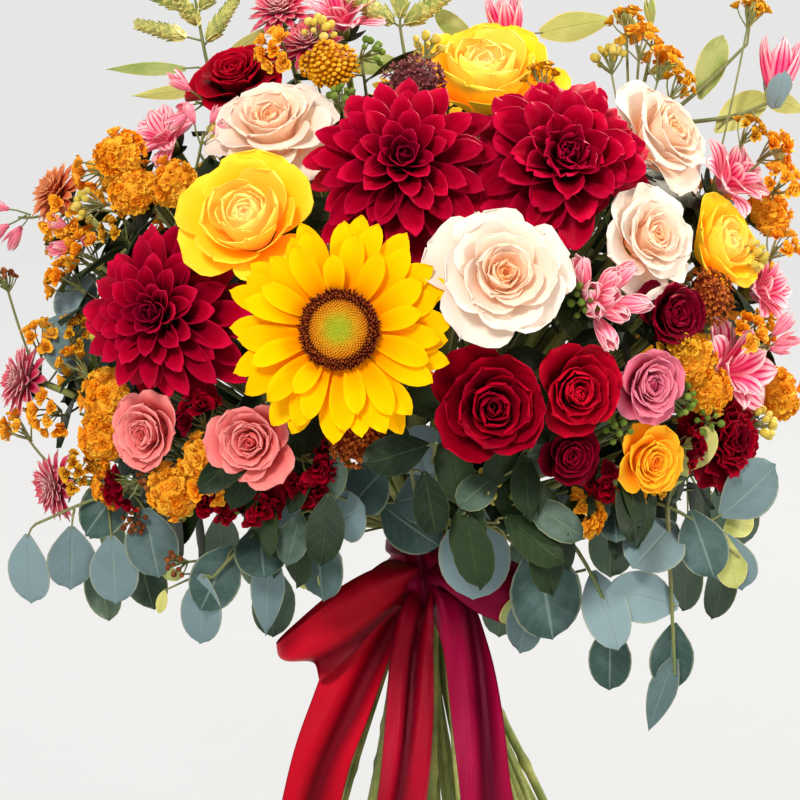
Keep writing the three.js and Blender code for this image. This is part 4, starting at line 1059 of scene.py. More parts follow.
def sunHeart(head):
    rng = random.Random(7)
    bm = startMesh()
    mark = bm.verts.layers.float_vector["petal"]
    place = headPlace(head)
    wide = head["radius"] * heart["share"]
    base = head["radius"] * heart["proud"]
    flat = place @ Matrix.Translation((0, 0, base)) @ Matrix.Diagonal((1, 1, heart["dome"], 1))
    made = bmesh.ops.create_uvsphere(bm, u_segments=40, v_segments=12, radius=wide, matrix=flat)
    for vert in made["verts"]:
        spot = place.inverted() @ vert.co
        vert[mark] = (min(1.0, math.hypot(spot.x, spot.y) / wide), 0.0, 0.3)
    for i in range(heart["count"]):
        part = math.sqrt((i + 0.5) / heart["count"])
        outer = part > heart["ring"]
        turn = i * goldenTurn
        hollow = -0.06 * math.cos(part * 3.6)
        rise = base + wide * (heart["dome"] * math.sqrt(1 - part * part) + hollow * 0.5)
        tall = wide * (rng.uniform(0.12, 0.22) if outer else rng.uniform(0.03, 0.06))
        thick = wide * (0.034 if outer else 0.033)
        lean = part * (0.5 if outer else 0.25) + rng.uniform(-0.35, 0.35) * part
        stand = place @ Matrix.Translation(around(turn, part * wide, rise)) @ turned(turn)
        stand = stand @ turned(lean, "Y") @ Matrix.Translation((0, 0, tall * 0.4))
        made = bmesh.ops.create_cone(
            bm, cap_ends=True, segments=5, radius1=thick, radius2=thick * 0.55, depth=tall, matrix=stand
        )["verts"]
        tone = rng.random()
        for vert in made:
            up = (stand.inverted() @ vert.co).z / tall + 0.5
            vert[mark] = (part, up, tone)
    finishMesh(bm, "sunflower_heart", ["sunflower_disc"], heartSkin())


sunHeart(heads[0])
print("sunflower heart made")


# Bud cluster: pointed buds of folded petals.
def budAt(bm, place, length, wide, rng, petals=5, open=0.0):
    # a closed bud standing on place's +Z axis
    for k in range(petals):
        inner = 1 - k / petals
        row = (length * (0.92 + 0.1 * inner), wide * 1.15, 66 - 10 * (1 - inner) - open, 110 - open * 2,
               1.7 / wide, wide * 0.1, 0.0)
        petal(bm, budPetal, row, place @ turned(k * goldenTurn), (rng.random(), k / petals), rng)


def budCluster(head):
    rng = random.Random(head["seed"])
    bm = startMesh()
    place = headPlace(head)
    radius = head["radius"]
    for k in range(9):
        ring = 0.0 if k == 0 else (0.5 if k < 5 else 0.95)
        spot = place @ turned(k * goldenTurn) @ Matrix.Translation((0, 0, -radius * 0.55))
        lift = Matrix.Translation((0, 0, radius * (0.45 + 0.12 * rng.random())))
        stand = spot @ turned(ring * 0.85, "Y") @ lift
        budAt(bm, stand, radius * rng.uniform(0.86, 1.05), radius * 0.36, rng, open=-3)
    finishMesh(bm, "bud_cluster_buds", ["bud_cluster"], petalSkins["blushBud"],
               thick=petalWall)


budCluster(next(head for head in heads if head["node"] == "bud_cluster"))


# Leaves: single blades on stalks, and the soft lines that stems and twigs follow.
def leafFrame(root, towards, look):
    # +X runs along the leaf, +Z is its upper side
    ahead = towards.normalized()
    side = look.cross(ahead).normalized()
    top = ahead.cross(side)
    return Matrix.Translation(root) @ Matrix((ahead, side, top)).transposed().to_4x4()


def leafBlade(bm, lines, form, root, centre, length, width, look, roll, rng, sag=0.0):
    # the stalk runs from root to the blade, whose middle is at centre; with sag, a blade
    # that lies lower than its root turns towards hanging straight down
    hang = sag * min(max((root.z - centre.z) / (length * 0.5), 0.0), 1.0)
    ahead = (centre - root).normalized() * (1 - hang) + Vector((0, 0, -hang))
    ahead.normalize()
    heel = centre - ahead * length / 2
    place = leafFrame(heel, ahead, look) @ turned(roll, "X")
    row = (length, width, rng.uniform(-14, 2), rng.uniform(-34, -8), rng.uniform(4, 16), 0.0, 0.0)
    petal(bm, form, row, place, (rng.random(), 0.5), rng)
    bend = root.lerp(heel, 0.5) + Vector((0, 0, (heel - root).length * 0.08))
    lines.append(([root, bend, heel + ahead * length * 0.04], [0.0009, 0.0007, 0.0005]))


def smoothLine(spots, steps):
    # a soft curve through every spot
    line = []
    for i in range(len(spots) - 1):
        a, b = spots[max(i - 1, 0)], spots[i]
        c, d = spots[i + 1], spots[min(i + 2, len(spots) - 1)]
        for k in range(steps):
            t = k / steps
            line.append(0.5 * (2 * b + (c - a) * t + (2 * a - 5 * b + 4 * c - d) * t * t
                               + (3 * b - a - 3 * c + d) * t * t * t))
    return line + [spots[-1]]


# Stems: each head's own, and the cut ends splayed below the ribbon.
# feet is the count of cut ends in each of two rings, bare that of the extra ones at the right;
# thin and uneven are millimetres, inner and knot shares of a stem's thickness
stem = {
    "footRadius": 0.096, "footShift": 0.014, "feet": 24, "bare": 11, "top": 0.207,
    "bundle": 0.0163, "bundled": 44, "bundleFoot": 0.196, "bundleTall": 0.052,
    "twist": 0.012, "topRing": 0.004, "bow": 0.004,
    "thin": 2.2, "uneven": 1.2, "inner": 0.72, "knot": 1.32,
}
stemTones = {
    "body": (0.14, 0.21, 0.03), "other": (0.46, 0.46, 0.12), "shade": (0.08, 0.10, 0.016),
    "cut": (0.62, 0.66, 0.36),
}
stalkTones = {
    "body": (0.16, 0.20, 0.05), "other": (0.28, 0.26, 0.09), "shade": (0.09, 0.10, 0.03),
    "cut": (0.6, 0.6, 0.3),
}
stemGreen = stemSkin("stemGreen", stemTones)
stalkGreen = stemSkin("stalkGreen", stalkTones)
denseFoot = {"comb": 0.42, "stars": 0.42, "beads": 0.42, "buds": 0.6}
neckShare = 0.3


def behind(head):
    # the spot behind a head where its stem ends
    kind = head["kind"]
    share = denseFoot[kind] if isinstance(kind, str) else kind["foot"]
    return head["spot"] - head["look"] * (share * head["radius"] + 0.0034)


def headStem(head):
    # a stem leaves the bundle, sags a little and turns into line with its flower
    ray = (head["spot"] - tie).normalized()
    start = tie + Vector((ray.x * 0.009, ray.y * 0.009, -0.006 + ray.z * 0.006))
    end = behind(head)
    neck = end - head["look"] * (0.008 + head["radius"] * neckShare)
    neck = neck.lerp(tie + ray * (neck - tie).length, 0.4)
    middle = start.lerp(neck, 0.5) + Vector((0, 0, -0.004))
    return smoothLine([start, middle, neck, end], 5)


def thickness(head):
    # the radius of a flower's stem
    return min(max(head["radius"] * 0.05 + mm, 1.5 * mm), 3.4 * mm)


lines = []
headStems = []
for node in dict.fromkeys(head["node"] for head in heads):
    group = [head for head in heads if head["node"] == node]
    main = headStem(group[0])
    thick = thickness(group[0])
    lines.append((main, [thick] * len(main)))
    headStems.append((group[0], main))
    for head in group[1:]:
        fork = main[len(main) * 2 // 3]
        end = behind(head)
        neck = end - head["look"] * (0.006 + head["radius"] * neckShare)
        branch = smoothLine([fork, fork.lerp(neck, 0.6), neck, end], 4)
        lines.append((branch, [thick * 0.7] * len(branch)))
        headStems.append((head, branch))

rng = random.Random(91)
for k in range(stem["feet"] * 2 + stem["bare"]):
    outer = k < stem["feet"]
    share = math.sqrt((k % stem["feet"] + 0.6) / stem["feet"]) * (1.0 if outer else 0.86)
    turn = k * goldenTurn + (0 if outer else 0.5)
    if k >= stem["feet"] * 2:
        share = rng.uniform(0.74, 0.98)
        turn = rng.uniform(-1.1, 0.35)
    radius = share * stem["footRadius"]
    foot = around(turn, radius, -0.004) + Vector((stem["footShift"], 0, 0))
    twist = Vector((-math.sin(turn), math.cos(turn), 0)) * share * stem["twist"]
    top = around(turn) * share * stem["topRing"] + twist
    top.z = stem["top"]
    bow = Vector((rng.uniform(-1, 1), rng.uniform(-1, 1), 0)) * stem["bow"]
    line = smoothLine([foot, foot.lerp(top, 0.35) + bow, foot.lerp(top, 0.7) + bow * 0.5, top], 12)
    thick = (stem["thin"] + rng.random() * stem["uneven"] + (stem["uneven"] if k % 9 == 4 else 0)) * mm
    thick *= 1.0 if outer else stem["inner"]
    knots = [rng.randrange(4, 30) for _ in range(rng.randrange(0, 4))]
    radii = [thick * (stem["knot"] if i in knots else 1.0) for i in range(len(line))]
    lines.append((line, radii))

bm = startMesh()
# the bundle at the tie, as the stems pass through the ribbon
for k in range(stem["bundled"]):
    share = math.sqrt((k + 0.5) / stem["bundled"])
    low = around(k * goldenTurn) * share * stem["bundle"] + Vector((0, 0, stem["bundleFoot"]))
    high = turned(0.5) @ low + Vector((0, 0, stem["bundleTall"]))
    lines.append(([low, low.lerp(high, 0.5), high], [0.0026, 0.0023, 0.0026]))
finishMesh(bm, "stems_round", ["stems"], None, lines=lines, lineSkin=stemGreen,
           sides=8, floor=True)

# Green cups under the heads, in the near-black deep leaf skin, painted shade behind the flowers
plainCup = {"reach": 0.62, "count": 6, "lean": 12, "tall": 0.3}
sunCup = {"reach": 0.4, "count": 13, "lean": -14, "tall": 0.12}
bm = startMesh()
cups = []
for head in heads:
    rng = random.Random(head["seed"] + 1)
    cup = sunCup if head["kind"] is sunRays else plainCup
    place = headPlace(head)
    radius = head["radius"]
    foot = place.inverted() @ behind(head)
    part = startMesh()
    for k in range(cup["count"]):
        lean = cup["lean"]
        row = (radius * cup["reach"], radius * 0.3, lean, lean * 2 + 22, 3.0 / radius, radius * 0.06,
               foot.z - lean * 0.0001)
        petal(part, cupPetal, row, place @ turned(k * goldenTurn), (rng.random(), 0.5), rng)
    absorb(bm, part)
    tall = cup["tall"] * radius
    spots = [place @ Vector((0, 0, foot.z + share * tall)) for share in (-0.5, 0.0, 0.5, 1.0, 1.3)]
    thick = thickness(head)
    cups.append((spots, [thick, thick * 1.5, radius * 0.17, radius * 0.2, radius * 0.1]))
finishMesh(bm, "cups", [], leafSkins["deep"], thick=petalWall, lines=cups, lineSkin=stemGreen,
           sides=10)
print("stems made")


def showsThrough(spot):
    # whether a spot lies among or before the petals of a head
    return any(within(head, spot, 1.0, -0.3, 1.2) for head in heads)


# Leaves left on the stems, from one share of a stem to the other, which fill the dome
# between and behind the heads, near-black as painted shade. Heads of less than the least radius have
# none.
fill = {"perStem": 6, "length": (0.034, 0.052), "wide": 0.5, "from": 0.42, "to": 0.93, "least": 0.024}
rng = random.Random(23)
bm = startMesh()
lines = []
for head, main in headStems:
    if head["radius"] < fill["least"] or head["kind"] in (mumForm, lilyForm):
        continue
    for k in range(fill["perStem"]):
        share = fill["from"] + (fill["to"] - fill["from"]) * (k + rng.random()) / fill["perStem"]
        root = main[min(int(share * len(main)), len(main) - 2)]
        ray = (root - tie).normalized()
        side = ray.orthogonal()
        side.rotate(Quaternion(ray, rng.uniform(0, 6.28)))
        towards = (side + ray * rng.uniform(0.1, 0.9)).normalized()
        length = rng.uniform(*fill["length"])
        if not showsThrough(root + towards * length * 1.1):
            part = startMesh()
            middle = root + towards * (length * 0.62)
            leafBlade(part, lines, fillLeaf, root, middle, length, length * fill["wide"], ray,
                      rng.uniform(-0.6, 0.6), rng)
            absorb(bm, part)
finishMesh(bm, "stem_leaves", [], leafSkins["deep"], thick=leafWall,
           lines=lines, lineSkin=stalkGreen, sides=4)
print("stem leaves made")

# Leafy sprays. A twig is a row of spots; a leaf is across, up, depth, length, width and
# roll; a bud is across, up, depth, radius and length.
sprays = {
    "eucalyptus_left": {
        "skin": "silver",
        "twigs": [
            [(-23, -12, 240), (-104, -52, 272), (-170, -66, 272), (-222, -66, 252)],
            [(-63, -32, 256), (-92, -84, 252), (-118, -96, 228)],
            [(-63, -32, 256), (-150, -36, 300), (-200, -34, 352)],
        ],
        "leaves": [
            (-192, 250, -72, 41, 30, 0.3), (-164, 226, -84, 41, 31, -0.2),
            (-187, 208, -78, 43, 30, 0.2), (-212, 216, -74, 39, 29, -0.4),
            (-240, 207, -66, 48, 27, 0.3), (-136, 181, -96, 50, 25, 0.2),
            (-124, 206, -98, 41, 30, -0.2), (-98, 226, -100, 41, 32, 0.1),
            (-203, 345, -40, 46, 40, 0.2), (-206, 372, -26, 39, 30, -0.4),
            (-180, 330, -30, 39, 30, 0.5),
        ],
    },
    "eucalyptus_front": {
        "skin": "silver",
        "twigs": [
            [(-6, -24, 241), (-30, -72, 262), (-62, -108, 258)],
            [(-6, -24, 241), (22, -70, 258), (48, -98, 252), (72, -106, 226)],
        ],
        "leaves": [
            (-48, 241, -118, 39, 30, 0.1), (-36, 257, -112, 39, 30, -0.3),
            (-78, 250, -116, 41, 30, 0.3), (-63, 212, -104, 46, 27, 0.2),
            (-95, 193, -96, 52, 20, -0.1), (-3, 279, -126, 36, 27, 0.1),
            (-8, 236, -84, 41, 30, 0.1), (-3, 254, -104, 39, 30, -0.2),
            (17, 268, -118, 36, 30, 0.2), (32, 220, -92, 52, 42, 0.1),
            (77, 196, -108, 57, 42, -0.1), (52, 250, -100, 36, 25, 0.2),
        ],
    },
    "eucalyptus_right": {
        "skin": "silver",
        "twigs": [
            [(23, -12, 240), (84, -62, 270), (140, -82, 266), (182, -80, 236)],
            [(53, -37, 255), (84, -90, 248), (108, -98, 206)],
            [(140, -82, 266), (143, -88, 210), (146, -86, 168)],
        ],
        "leaves": [
            (84, 241, -104, 43, 27, 0.2), (117, 243, -100, 34, 22, -0.2),
            (144, 228, -96, 48, 35, 0.2), (171, 226, -90, 41, 30, -0.2),
            (199, 257, -80, 43, 32, 0.2), (139, 193, -98, 48, 30, 0.1),
            (154, 154, -88, 43, 27, -0.2), (146, 130, -84, 52, 17, 0.1),
            (189, 212, -80, 39, 27, 0.3), (112, 186, -104, 48, 27, -0.1),
            (115, 152, -98, 46, 25, 0.2), (62, 176, -98, 39, 22, 0.2),
        ],
    },
    "eucalyptus_back_left": {
        "skin": "sage",
        "twigs": [
            [(-22, 14, 240), (-104, 74, 268), (-182, 120, 246)],
            [(-22, 14, 240), (-56, 112, 252), (-84, 178, 248)],
        ],
        "leaves": [
            (-150, 246, 106, 48, 35, 0.3), (-190, 236, 132, 46, 32, -0.3),
            (-170, 206, 120, 46, 32, 0.2), (-120, 226, 100, 43, 32, -0.2),
            (-196, 200, 130, 46, 30, 0.1), (-76, 244, 158, 48, 35, 0.3),
            (-100, 220, 176, 46, 32, -0.3), (-60, 214, 150, 43, 32, 0.3),
            (-88, 190, 184, 48, 32, 0.1), (-190, 250, 40, 46, 32, 0.2),
        ],
    },
    "eucalyptus_back_right": {
        "skin": "sage",
        "twigs": [
            [(22, 14, 240), (104, 74, 268), (176, 118, 246)],
            [(22, 14, 240), (38, 112, 268), (50, 182, 248)],
        ],
        "leaves": [
            (150, 246, 106, 48, 35, 0.3), (182, 236, 132, 46, 32, -0.3),
            (164, 206, 120, 46, 32, 0.2), (118, 226, 100, 43, 32, -0.2),
            (188, 200, 130, 46, 30, 0.1), (36, 244, 160, 48, 35, 0.3),
            (70, 220, 178, 46, 32, -0.3), (20, 214, 160, 43, 32, 0.3),
            (54, 190, 190, 48, 32, 0.1), (190, 244, 30, 46, 32, 0.2),
        ],
    },
    "plume_spray": {
        "skin": "fresh",
        "twigs": [[(-98, 8, 452), (-122, 10, 500), (-132, 12, 548)]],
        "leaves": [
            (-162, 508, 12, 50, 9, 0.2), (-148, 492, 6, 44, 9, -0.3), (-100, 522, 12, 36, 8, 0.3),
        ],
        "buds": [
            (-134, 560, 12, 3.6, 26), (-122, 550, 8, 3.4, 24), (-146, 546, 14, 3.4, 26),
            (-118, 532, 14, 3.4, 24), (-148, 528, 8, 3.4, 24), (-136, 540, 4, 3.4, 24),
        ],
    },
    "greens_top": {
        "skin": "fresh",
        "twigs": [
            [(6, 4, 440), (-6, 8, 500), (-12, 10, 534)],
            [(6, 4, 440), (36, 20, 505), (52, 14, 526)],
        ],
        "leaves": [
            (-26, 512, 8, 34, 15, 0.3), (2, 514, 6, 34, 14, -0.3), (22, 530, 12, 34, 14, 0.2),
            (92, 532, 16, 46, 18, 0.2),
        ],
        "buds": [
            (-27, 540, 10, 4.2, 28), (-12, 548, 12, 3.6, 26), (2, 540, 8, 4.2, 28),
            (50, 534, 12, 9, 36),
        ],
    },
    "bud_spray": {
        "skin": "fresh",
        "twigs": [
            [(106, -4, 440), (128, 4, 490), (136, 8, 522)],
            [(114, -1, 458), (160, 4, 494), (192, 8, 524)],
            [(138, 2, 477), (182, 0, 482), (208, 0, 492)],
        ],
        "leaves": [
            (170, 508, 4, 40, 18, 0.2), (188, 484, 0, 40, 20, -0.2), (216, 486, 2, 34, 13, 0.3),
        ],
        "buds": [
            (120, 535, 6, 5.5, 20), (142, 508, 0, 5, 18), (134, 540, 8, 4.5, 16),
            (193, 540, 8, 4.5, 18), (210, 508, 2, 10, 40), (210, 460, -8, 4.5, 16),
        ],
    },
}


# leaves below skirtTop, in millimetres, hang; buds of bigBud and more are the pink ones
leafSag = 0.7
skirtTop = 290
bigBud = 9
toFront = Vector((0, -1, 0.25))


def inMetres(twigs):
    return [[Vector(spot) * mm for spot in twig] for twig in twigs]


def nearestOn(twigs, spot):
    best = None
    for twig in twigs:
        for i in range(len(twig) - 1):
            line = twig[i + 1] - twig[i]
            share = (spot - twig[i]).dot(line) / line.length_squared - 0.2
            share = min(max(share, 0.25 if i == 0 else 0.0), 1.0)
            base = twig[i] + line * share
            if best is None or (base - spot).length < (best - spot).length:
                best = base
    return best


def plume(bm, lines, root, tip, wide, rng):
    # a tapering spike of small overlapping bracts
    line = tip - root
    bracts = 54
    lines.append(([root, root.lerp(tip, 0.9)], [0.0007, 0.0004]))
    for k in range(bracts):
        share = k / bracts
        stand = Matrix.Translation(root.lerp(tip, share * 0.9)) @ aimed(line) @ turned(k * goldenTurn)
        size = line.length * 0.34 * (1 - share * 0.5)
        row = (size, wide * (1 - share * 0.4), 56, 80, 2.0 / wide, wide * 0.06, 0.0)
        petal(bm, starFloret, row, stand, (rng.random(), 0.5), rng)


pinkBuds = []
for node, spray in sprays.items():
    rng = random.Random(len(node) * 31)
    bm = startMesh()
    lines = []
    twigs = inMetres(spray["twigs"])
    for twig in twigs:
        row = smoothLine(twig, 6)
        lines.append((row, [(1.7 - 0.9 * k / len(row)) * mm for k in range(len(row))]))
    first = twigs[0][0]
    lines.append(([tie + Vector((0, 0, 0.001)), first], [0.0017, 0.0017]))
    for spread, up, depth, length, width, roll in spray["leaves"]:
        centre = seen(spread, up, depth)
        look = Vector((spread * 0.006, 1, 0.4)) if depth > 60 else toFront
        form = narrowLeaf if width < length * 0.4 else ovalLeaf
        leafBlade(bm, lines, form, nearestOn(twigs, centre), centre, length * mm, width * mm, look,
                  roll, rng, leafSag if up < skirtTop else 0.0)
    for spread, up, depth, radius, length in spray.get("buds", []):
        centre = seen(spread, up, depth)
        root = nearestOn(twigs, centre)
        ahead = (centre - root).normalized()
        heel = centre - ahead * length / 2 * mm
        lines.append(([root, heel], [0.0008, 0.0007]))
        if radius >= bigBud:
            pinkBuds.append((heel, ahead, length * mm, radius * mm))
        elif node == "plume_spray" or node == "greens_top" and radius < 5:
            plume(bm, lines, heel, centre + ahead * length * 0.8 * mm, radius * 3 * mm, rng)
        else:
            budAt(bm, Matrix.Translation(heel) @ aimed(ahead), length * mm, radius * mm, rng)
    finishMesh(bm, node + "_leaves", [node], leafSkins[spray["skin"]], thick=0.0005,
               lines=lines, lineSkin=stalkGreen)
# the pink buds, then their green cups: skin, sunk, share of the length and radius, petals, open
budLayers = {
    "pink_buds": (petalSkins["blush"], 0.0, 1.0, 1.25, 7, 7),
    "pink_bud_cups": (leafSkins["silver"], 0.004, 0.62, 1.4, 4, 9),
}
rng = random.Random(61)
for name, (skin, sunk, long, wide, petals, opened) in budLayers.items():
    bm = startMesh()
    for heel, ahead, length, radius in pinkBuds:
        stand = Matrix.Translation(heel - ahead * sunk) @ aimed(ahead)
        budAt(bm, stand, length * long, radius * wide, rng, petals, opened)
    finishMesh(bm, name, [], skin, thick=petalWall)
# single young leaves, as across, up, depth, length and width
limeLeaves = [
    (-66, 214, -98, 20, 13), (-56, 206, -100, 18, 12), (-70, 204, -96, 16, 11),
    (60, 184, -72, 28, 20), (189, 214, -84, 34, 20), (196, 240, -72, 30, 18),
    (-152, 206, -86, 18, 8), (-158, 190, -86, 16, 7), (166, 283, -104, 32, 18),
    (154, 268, -110, 28, 15), (118, 262, -122, 30, 16), (20, 262, -126, 26, 14),
]
bm = startMesh()
lines = []
twigs = [twig for side in ("left", "front", "right")
         for twig in inMetres(sprays["eucalyptus_" + side]["twigs"])]
for spread, up, depth, length, width in limeLeaves:
    centre = seen(spread, up, depth)
    leafBlade(bm, lines, ovalLeaf, nearestOn(twigs, centre), centre, length * mm, width * mm,
              toFront, rng.uniform(-0.5, 0.5), rng, leafSag)
finishMesh(bm, "lime_leaves", [], leafSkins["fresh"], thick=leafWall,
           lines=lines, lineSkin=stalkGreen, sides=4)
print("sprays made")

# Small flowers, buds and berries on thin stalks of their own: at the edges, and by rule
# wherever the dome has room between the heads. A kind says how many are on a sprig, how
# wide it spreads and the size of one, in millimetres.
sprigKinds = {
    "saffron": {"skin": "saffron", "count": 8, "spread": 11, "size": 6.2},
    "mustard": {"skin": "mustard", "count": 9, "spread": 10, "size": 4.8},
    "lemon": {"skin": "lemon", "count": 12, "spread": 10, "size": 3.2},
    "green": {"skin": "green", "count": 9, "spread": 9, "size": 2.8},
    "brown": {"skin": "brown", "count": 14, "spread": 8, "size": 2.2},
    "blush": {"skin": "blushBud", "count": 3, "spread": 9, "size": 5.0},
    "crimson": {"skin": "crimson", "count": 6, "spread": 9, "size": 9.0},
}
# across, up, depth and kind, as seen from the front
edgeSprigs = [
    (-238, 421, -10, "blush"), (-247, 384, -20, "brown"), (-226, 348, -30, "saffron"),
    (-206, 332, -52, "saffron"), (-222, 304, -46, "saffron"), (-206, 352, -48, "mustard"),
    (-210, 420, -36, "saffron"), (-196, 428, -46, "lemon"), (-192, 446, -34, "saffron"),
    (-202, 408, -42, "blush"), (-240, 296, -30, "saffron"), (-196, 246, -56, "brown"),
    (-173, 240, -84, "brown"), (-148, 214, -96, "brown"), (-206, 270, -62, "mustard"),
    (-164, 268, -100, "brown"), (-184, 262, -84, "saffron"), (-118, 250, -116, "green"),
    (-126, 262, -130, "saffron"), (-62, 258, -128, "green"), (62, 258, -128, "green"),
    (64, 266, -130, "brown"), (40, 262, -130, "lemon"), (156, 313, -118, "green"),
    (172, 302, -104, "green"), (152, 346, -112, "mustard"), (192, 352, -70, "saffron"),
    (206, 346, -58, "blush"), (204, 298, -66, "lemon"), (212, 404, -30, "saffron"),
    (196, 398, -52, "lemon"), (206, 459, -18, "saffron"), (192, 470, -24, "mustard"),
    (212, 440, -20, "saffron"), (120, 532, -4, "mustard"), (128, 520, -14, "saffron"),
    (141, 508, -18, "saffron"), (150, 496, -26, "mustard"), (192, 538, -2, "mustard"),
    (110, 512, -20, "lemon"), (-128, 470, -54, "blush"), (-116, 470, -44, "lemon"),
    (-132, 488, -34, "blush"), (-60, 528, -20, "lemon"), (-30, 516, -40, "green"),
    (-84, 516, -26, "saffron"), (4, 518, -30, "lemon"), (70, 500, -58, "mustard"),
    (96, 372, -150, "green"), (-8, 282, -140, "brown"), (118, 296, -136, "green"),
]
# crimson blossoms low between the roses, as across, up and depth
lowBlossoms = [
    (-133, 303, -116), (-121, 254, -124), (-100, 250, -128), (-70, 262, -132), (-178, 262, -92),
    (-66, 276, -140), (156, 284, -106), (112, 268, -124), (152, 350, -98),
]
filler = {
    "directions": 480, "lowest": 0.16, "sunk": 0.018, "clear": 0.03, "root": 0.45,
    "skirtFrom": 0.45, "drawnIn": 0.11, "length": (0.030, 0.044), "wide": 0.55, "deep": (0.004, 0.02),
}
sideRule = {"odds": 0.5, "above": 0.1, "kinds": ["saffron", "mustard", "lemon", "saffron"]}
frontRule = {"odds": 0.22, "above": 0.3, "kinds": ["green", "brown", "mustard"]}


def forkFor(spot):
    # where a thin stalk leaves the head stem that passes nearest below a spot
    best = None
    for _, main in headStems:
        for point in main[len(main) // 2:-2]:
            line = spot - point
            if line.z > -0.01 and (best is None or line.length < (spot - best).length):
                best = point
    return best or tie


def sprig(grown, lines, kind, root, tip, rng):
    bm = startMesh()
    look = sprigKinds[kind]
    ahead = (tip - root).normalized()
    neck = root.lerp(tip, 0.6) + Vector((0, 0, -0.003))
    lines.append((smoothLine([root, neck, tip], 4), [0.0008] * 9))
    for k in range(look["count"]):
        turn = Quaternion(ahead, k * goldenTurn)
        side = turn @ ahead.orthogonal().normalized()
        part = math.sqrt((k + 0.4) / look["count"])
        reach = look["spread"] * mm * part
        spot = tip + side * reach + ahead * (look["spread"] * mm * 0.8 * (1 - part * part))
        fork = tip - ahead * look["spread"] * mm * (0.4 + 0.5 * part)
        lines.append(([fork, fork.lerp(spot, 0.6) + side * reach * 0.1, spot], [0.0006, 0.0005, 0.0005]))
        stand = Matrix.Translation(spot) @ aimed(ahead + side * part)
        size = look["size"] * mm * rng.uniform(0.75, 1.2)
        if kind in ("saffron", "mustard", "crimson"):
            doubleFloret(bm, stand, size, rng.random(), rng)
        elif kind == "blush":
            budAt(bm, stand, size * 3.2, size, rng, open=4)
        else:
            tall = stand @ Matrix.Diagonal((1, 1, 1.25 if kind == "lemon" else 1.0, 1))
            addBall(bm, tall, size / 1.4, 2, (0.0, rng.uniform(0.3, 0.9), rng.random()))
    absorb(grown, bm)


def domeReach(direction):
    # how far from the tie the heads lie in a direction
    total = weight = 0.0
    for head in heads:
        line = head["spot"] - tie
        near = 1 / (direction.angle(line) + 0.08) ** 4
        total += near * line.length
        weight += near
    return total / weight


def freeDirections():
    # directions from the tie that pass between the heads, with the angle left over
    rays = [(head["spot"] - tie, head["radius"]) for head in heads]
    found = []
    for i in range(filler["directions"]):
        direction = domeSpot(i, filler["directions"], filler["lowest"])
        margin = min(direction.angle(line) - math.atan(radius / line.length) for line, radius in rays)
        if margin > -filler["clear"]:
            found.append((direction, margin))
    return found


def neckShows(direction):
    # the photograph looks between the heads at the ribbon's knot here
    return direction.y < -0.5 and abs(direction.x + 0.08) < 0.22 and direction.z < 0.36


def gapPair(grown, lines, direction, root, spot, rng):
    # two leaves that spread from the end of a twig, one to each side
    bm = startMesh()
    across = Quaternion(direction, rng.uniform(0, 6.28)) @ direction.orthogonal().normalized()
    for side in (1, -1):
        towards = (across * side + direction * rng.uniform(0.1, 0.8)).normalized()
        length = rng.uniform(*filler["length"])
        heel = spot - direction * rng.uniform(*filler["deep"])
        if not showsThrough(heel + towards * length * 1.1):
            middle = heel + towards * length * 0.6
            leafBlade(bm, lines, fillLeaf, heel, middle, length, length * filler["wide"], direction,
                      rng.uniform(-0.5, 0.5), rng, leafSag)
    absorb(grown, bm)
    lines.append(([root, root.lerp(spot, 0.5), spot], [0.0012, 0.0011, 0.0009]))


rng = random.Random(77)
sprigMeshes = {kind: (startMesh(), []) for kind in sprigKinds}
gapLeaves = {kind: (startMesh(), []) for kind in ("deep", "olive", "sage")}
for across, up, depth, kind in edgeSprigs:
    tip = seen(across, up, depth)
    sprig(*sprigMeshes[kind], kind, forkFor(tip), tip, rng)
for direction, margin in freeDirections():
    if neckShows(direction):
        continue
    low = max(0.0, filler["skirtFrom"] - direction.z)
    reach = domeReach(direction) - filler["sunk"] - low * filler["drawnIn"]
    spot = tie + direction * reach
    root = tie + direction * reach * filler["root"]
    rule = sideRule if abs(direction.x) > 0.55 or direction.y > 0.3 else frontRule
    if margin > 0.0 and rng.random() < rule["odds"] and direction.z > rule["above"]:
        kind = rng.choice(rule["kinds"])
        sprig(*sprigMeshes[kind], kind, root, spot + direction * 0.004, rng)
    # most gap leaves take the near-black deep skin, as painted shade between the heads
    skin = rng.choice(["deep", "deep", "olive" if direction.z > 0.4 else "sage"])
    gapPair(*gapLeaves[skin], direction, root, spot, rng)
rng = random.Random(19)
for across, up, depth in lowBlossoms:
    tip = seen(across, up, depth)
    sprig(*sprigMeshes["crimson"], "crimson", forkFor(tip), tip, rng)
for kind, (mesh, stalks) in sprigMeshes.items():
    finishMesh(mesh, "sprigs_" + kind, [], petalSkins[sprigKinds[kind]["skin"]],
               lines=stalks, lineSkin=stalkGreen, sides=4)
for kind, (mesh, stalks) in gapLeaves.items():
    finishMesh(mesh, "gap_leaves_" + kind, [], leafSkins[kind], thick=leafWall,
               lines=stalks, lineSkin=stalkGreen, sides=4)
print("sprigs and gap leaves made")
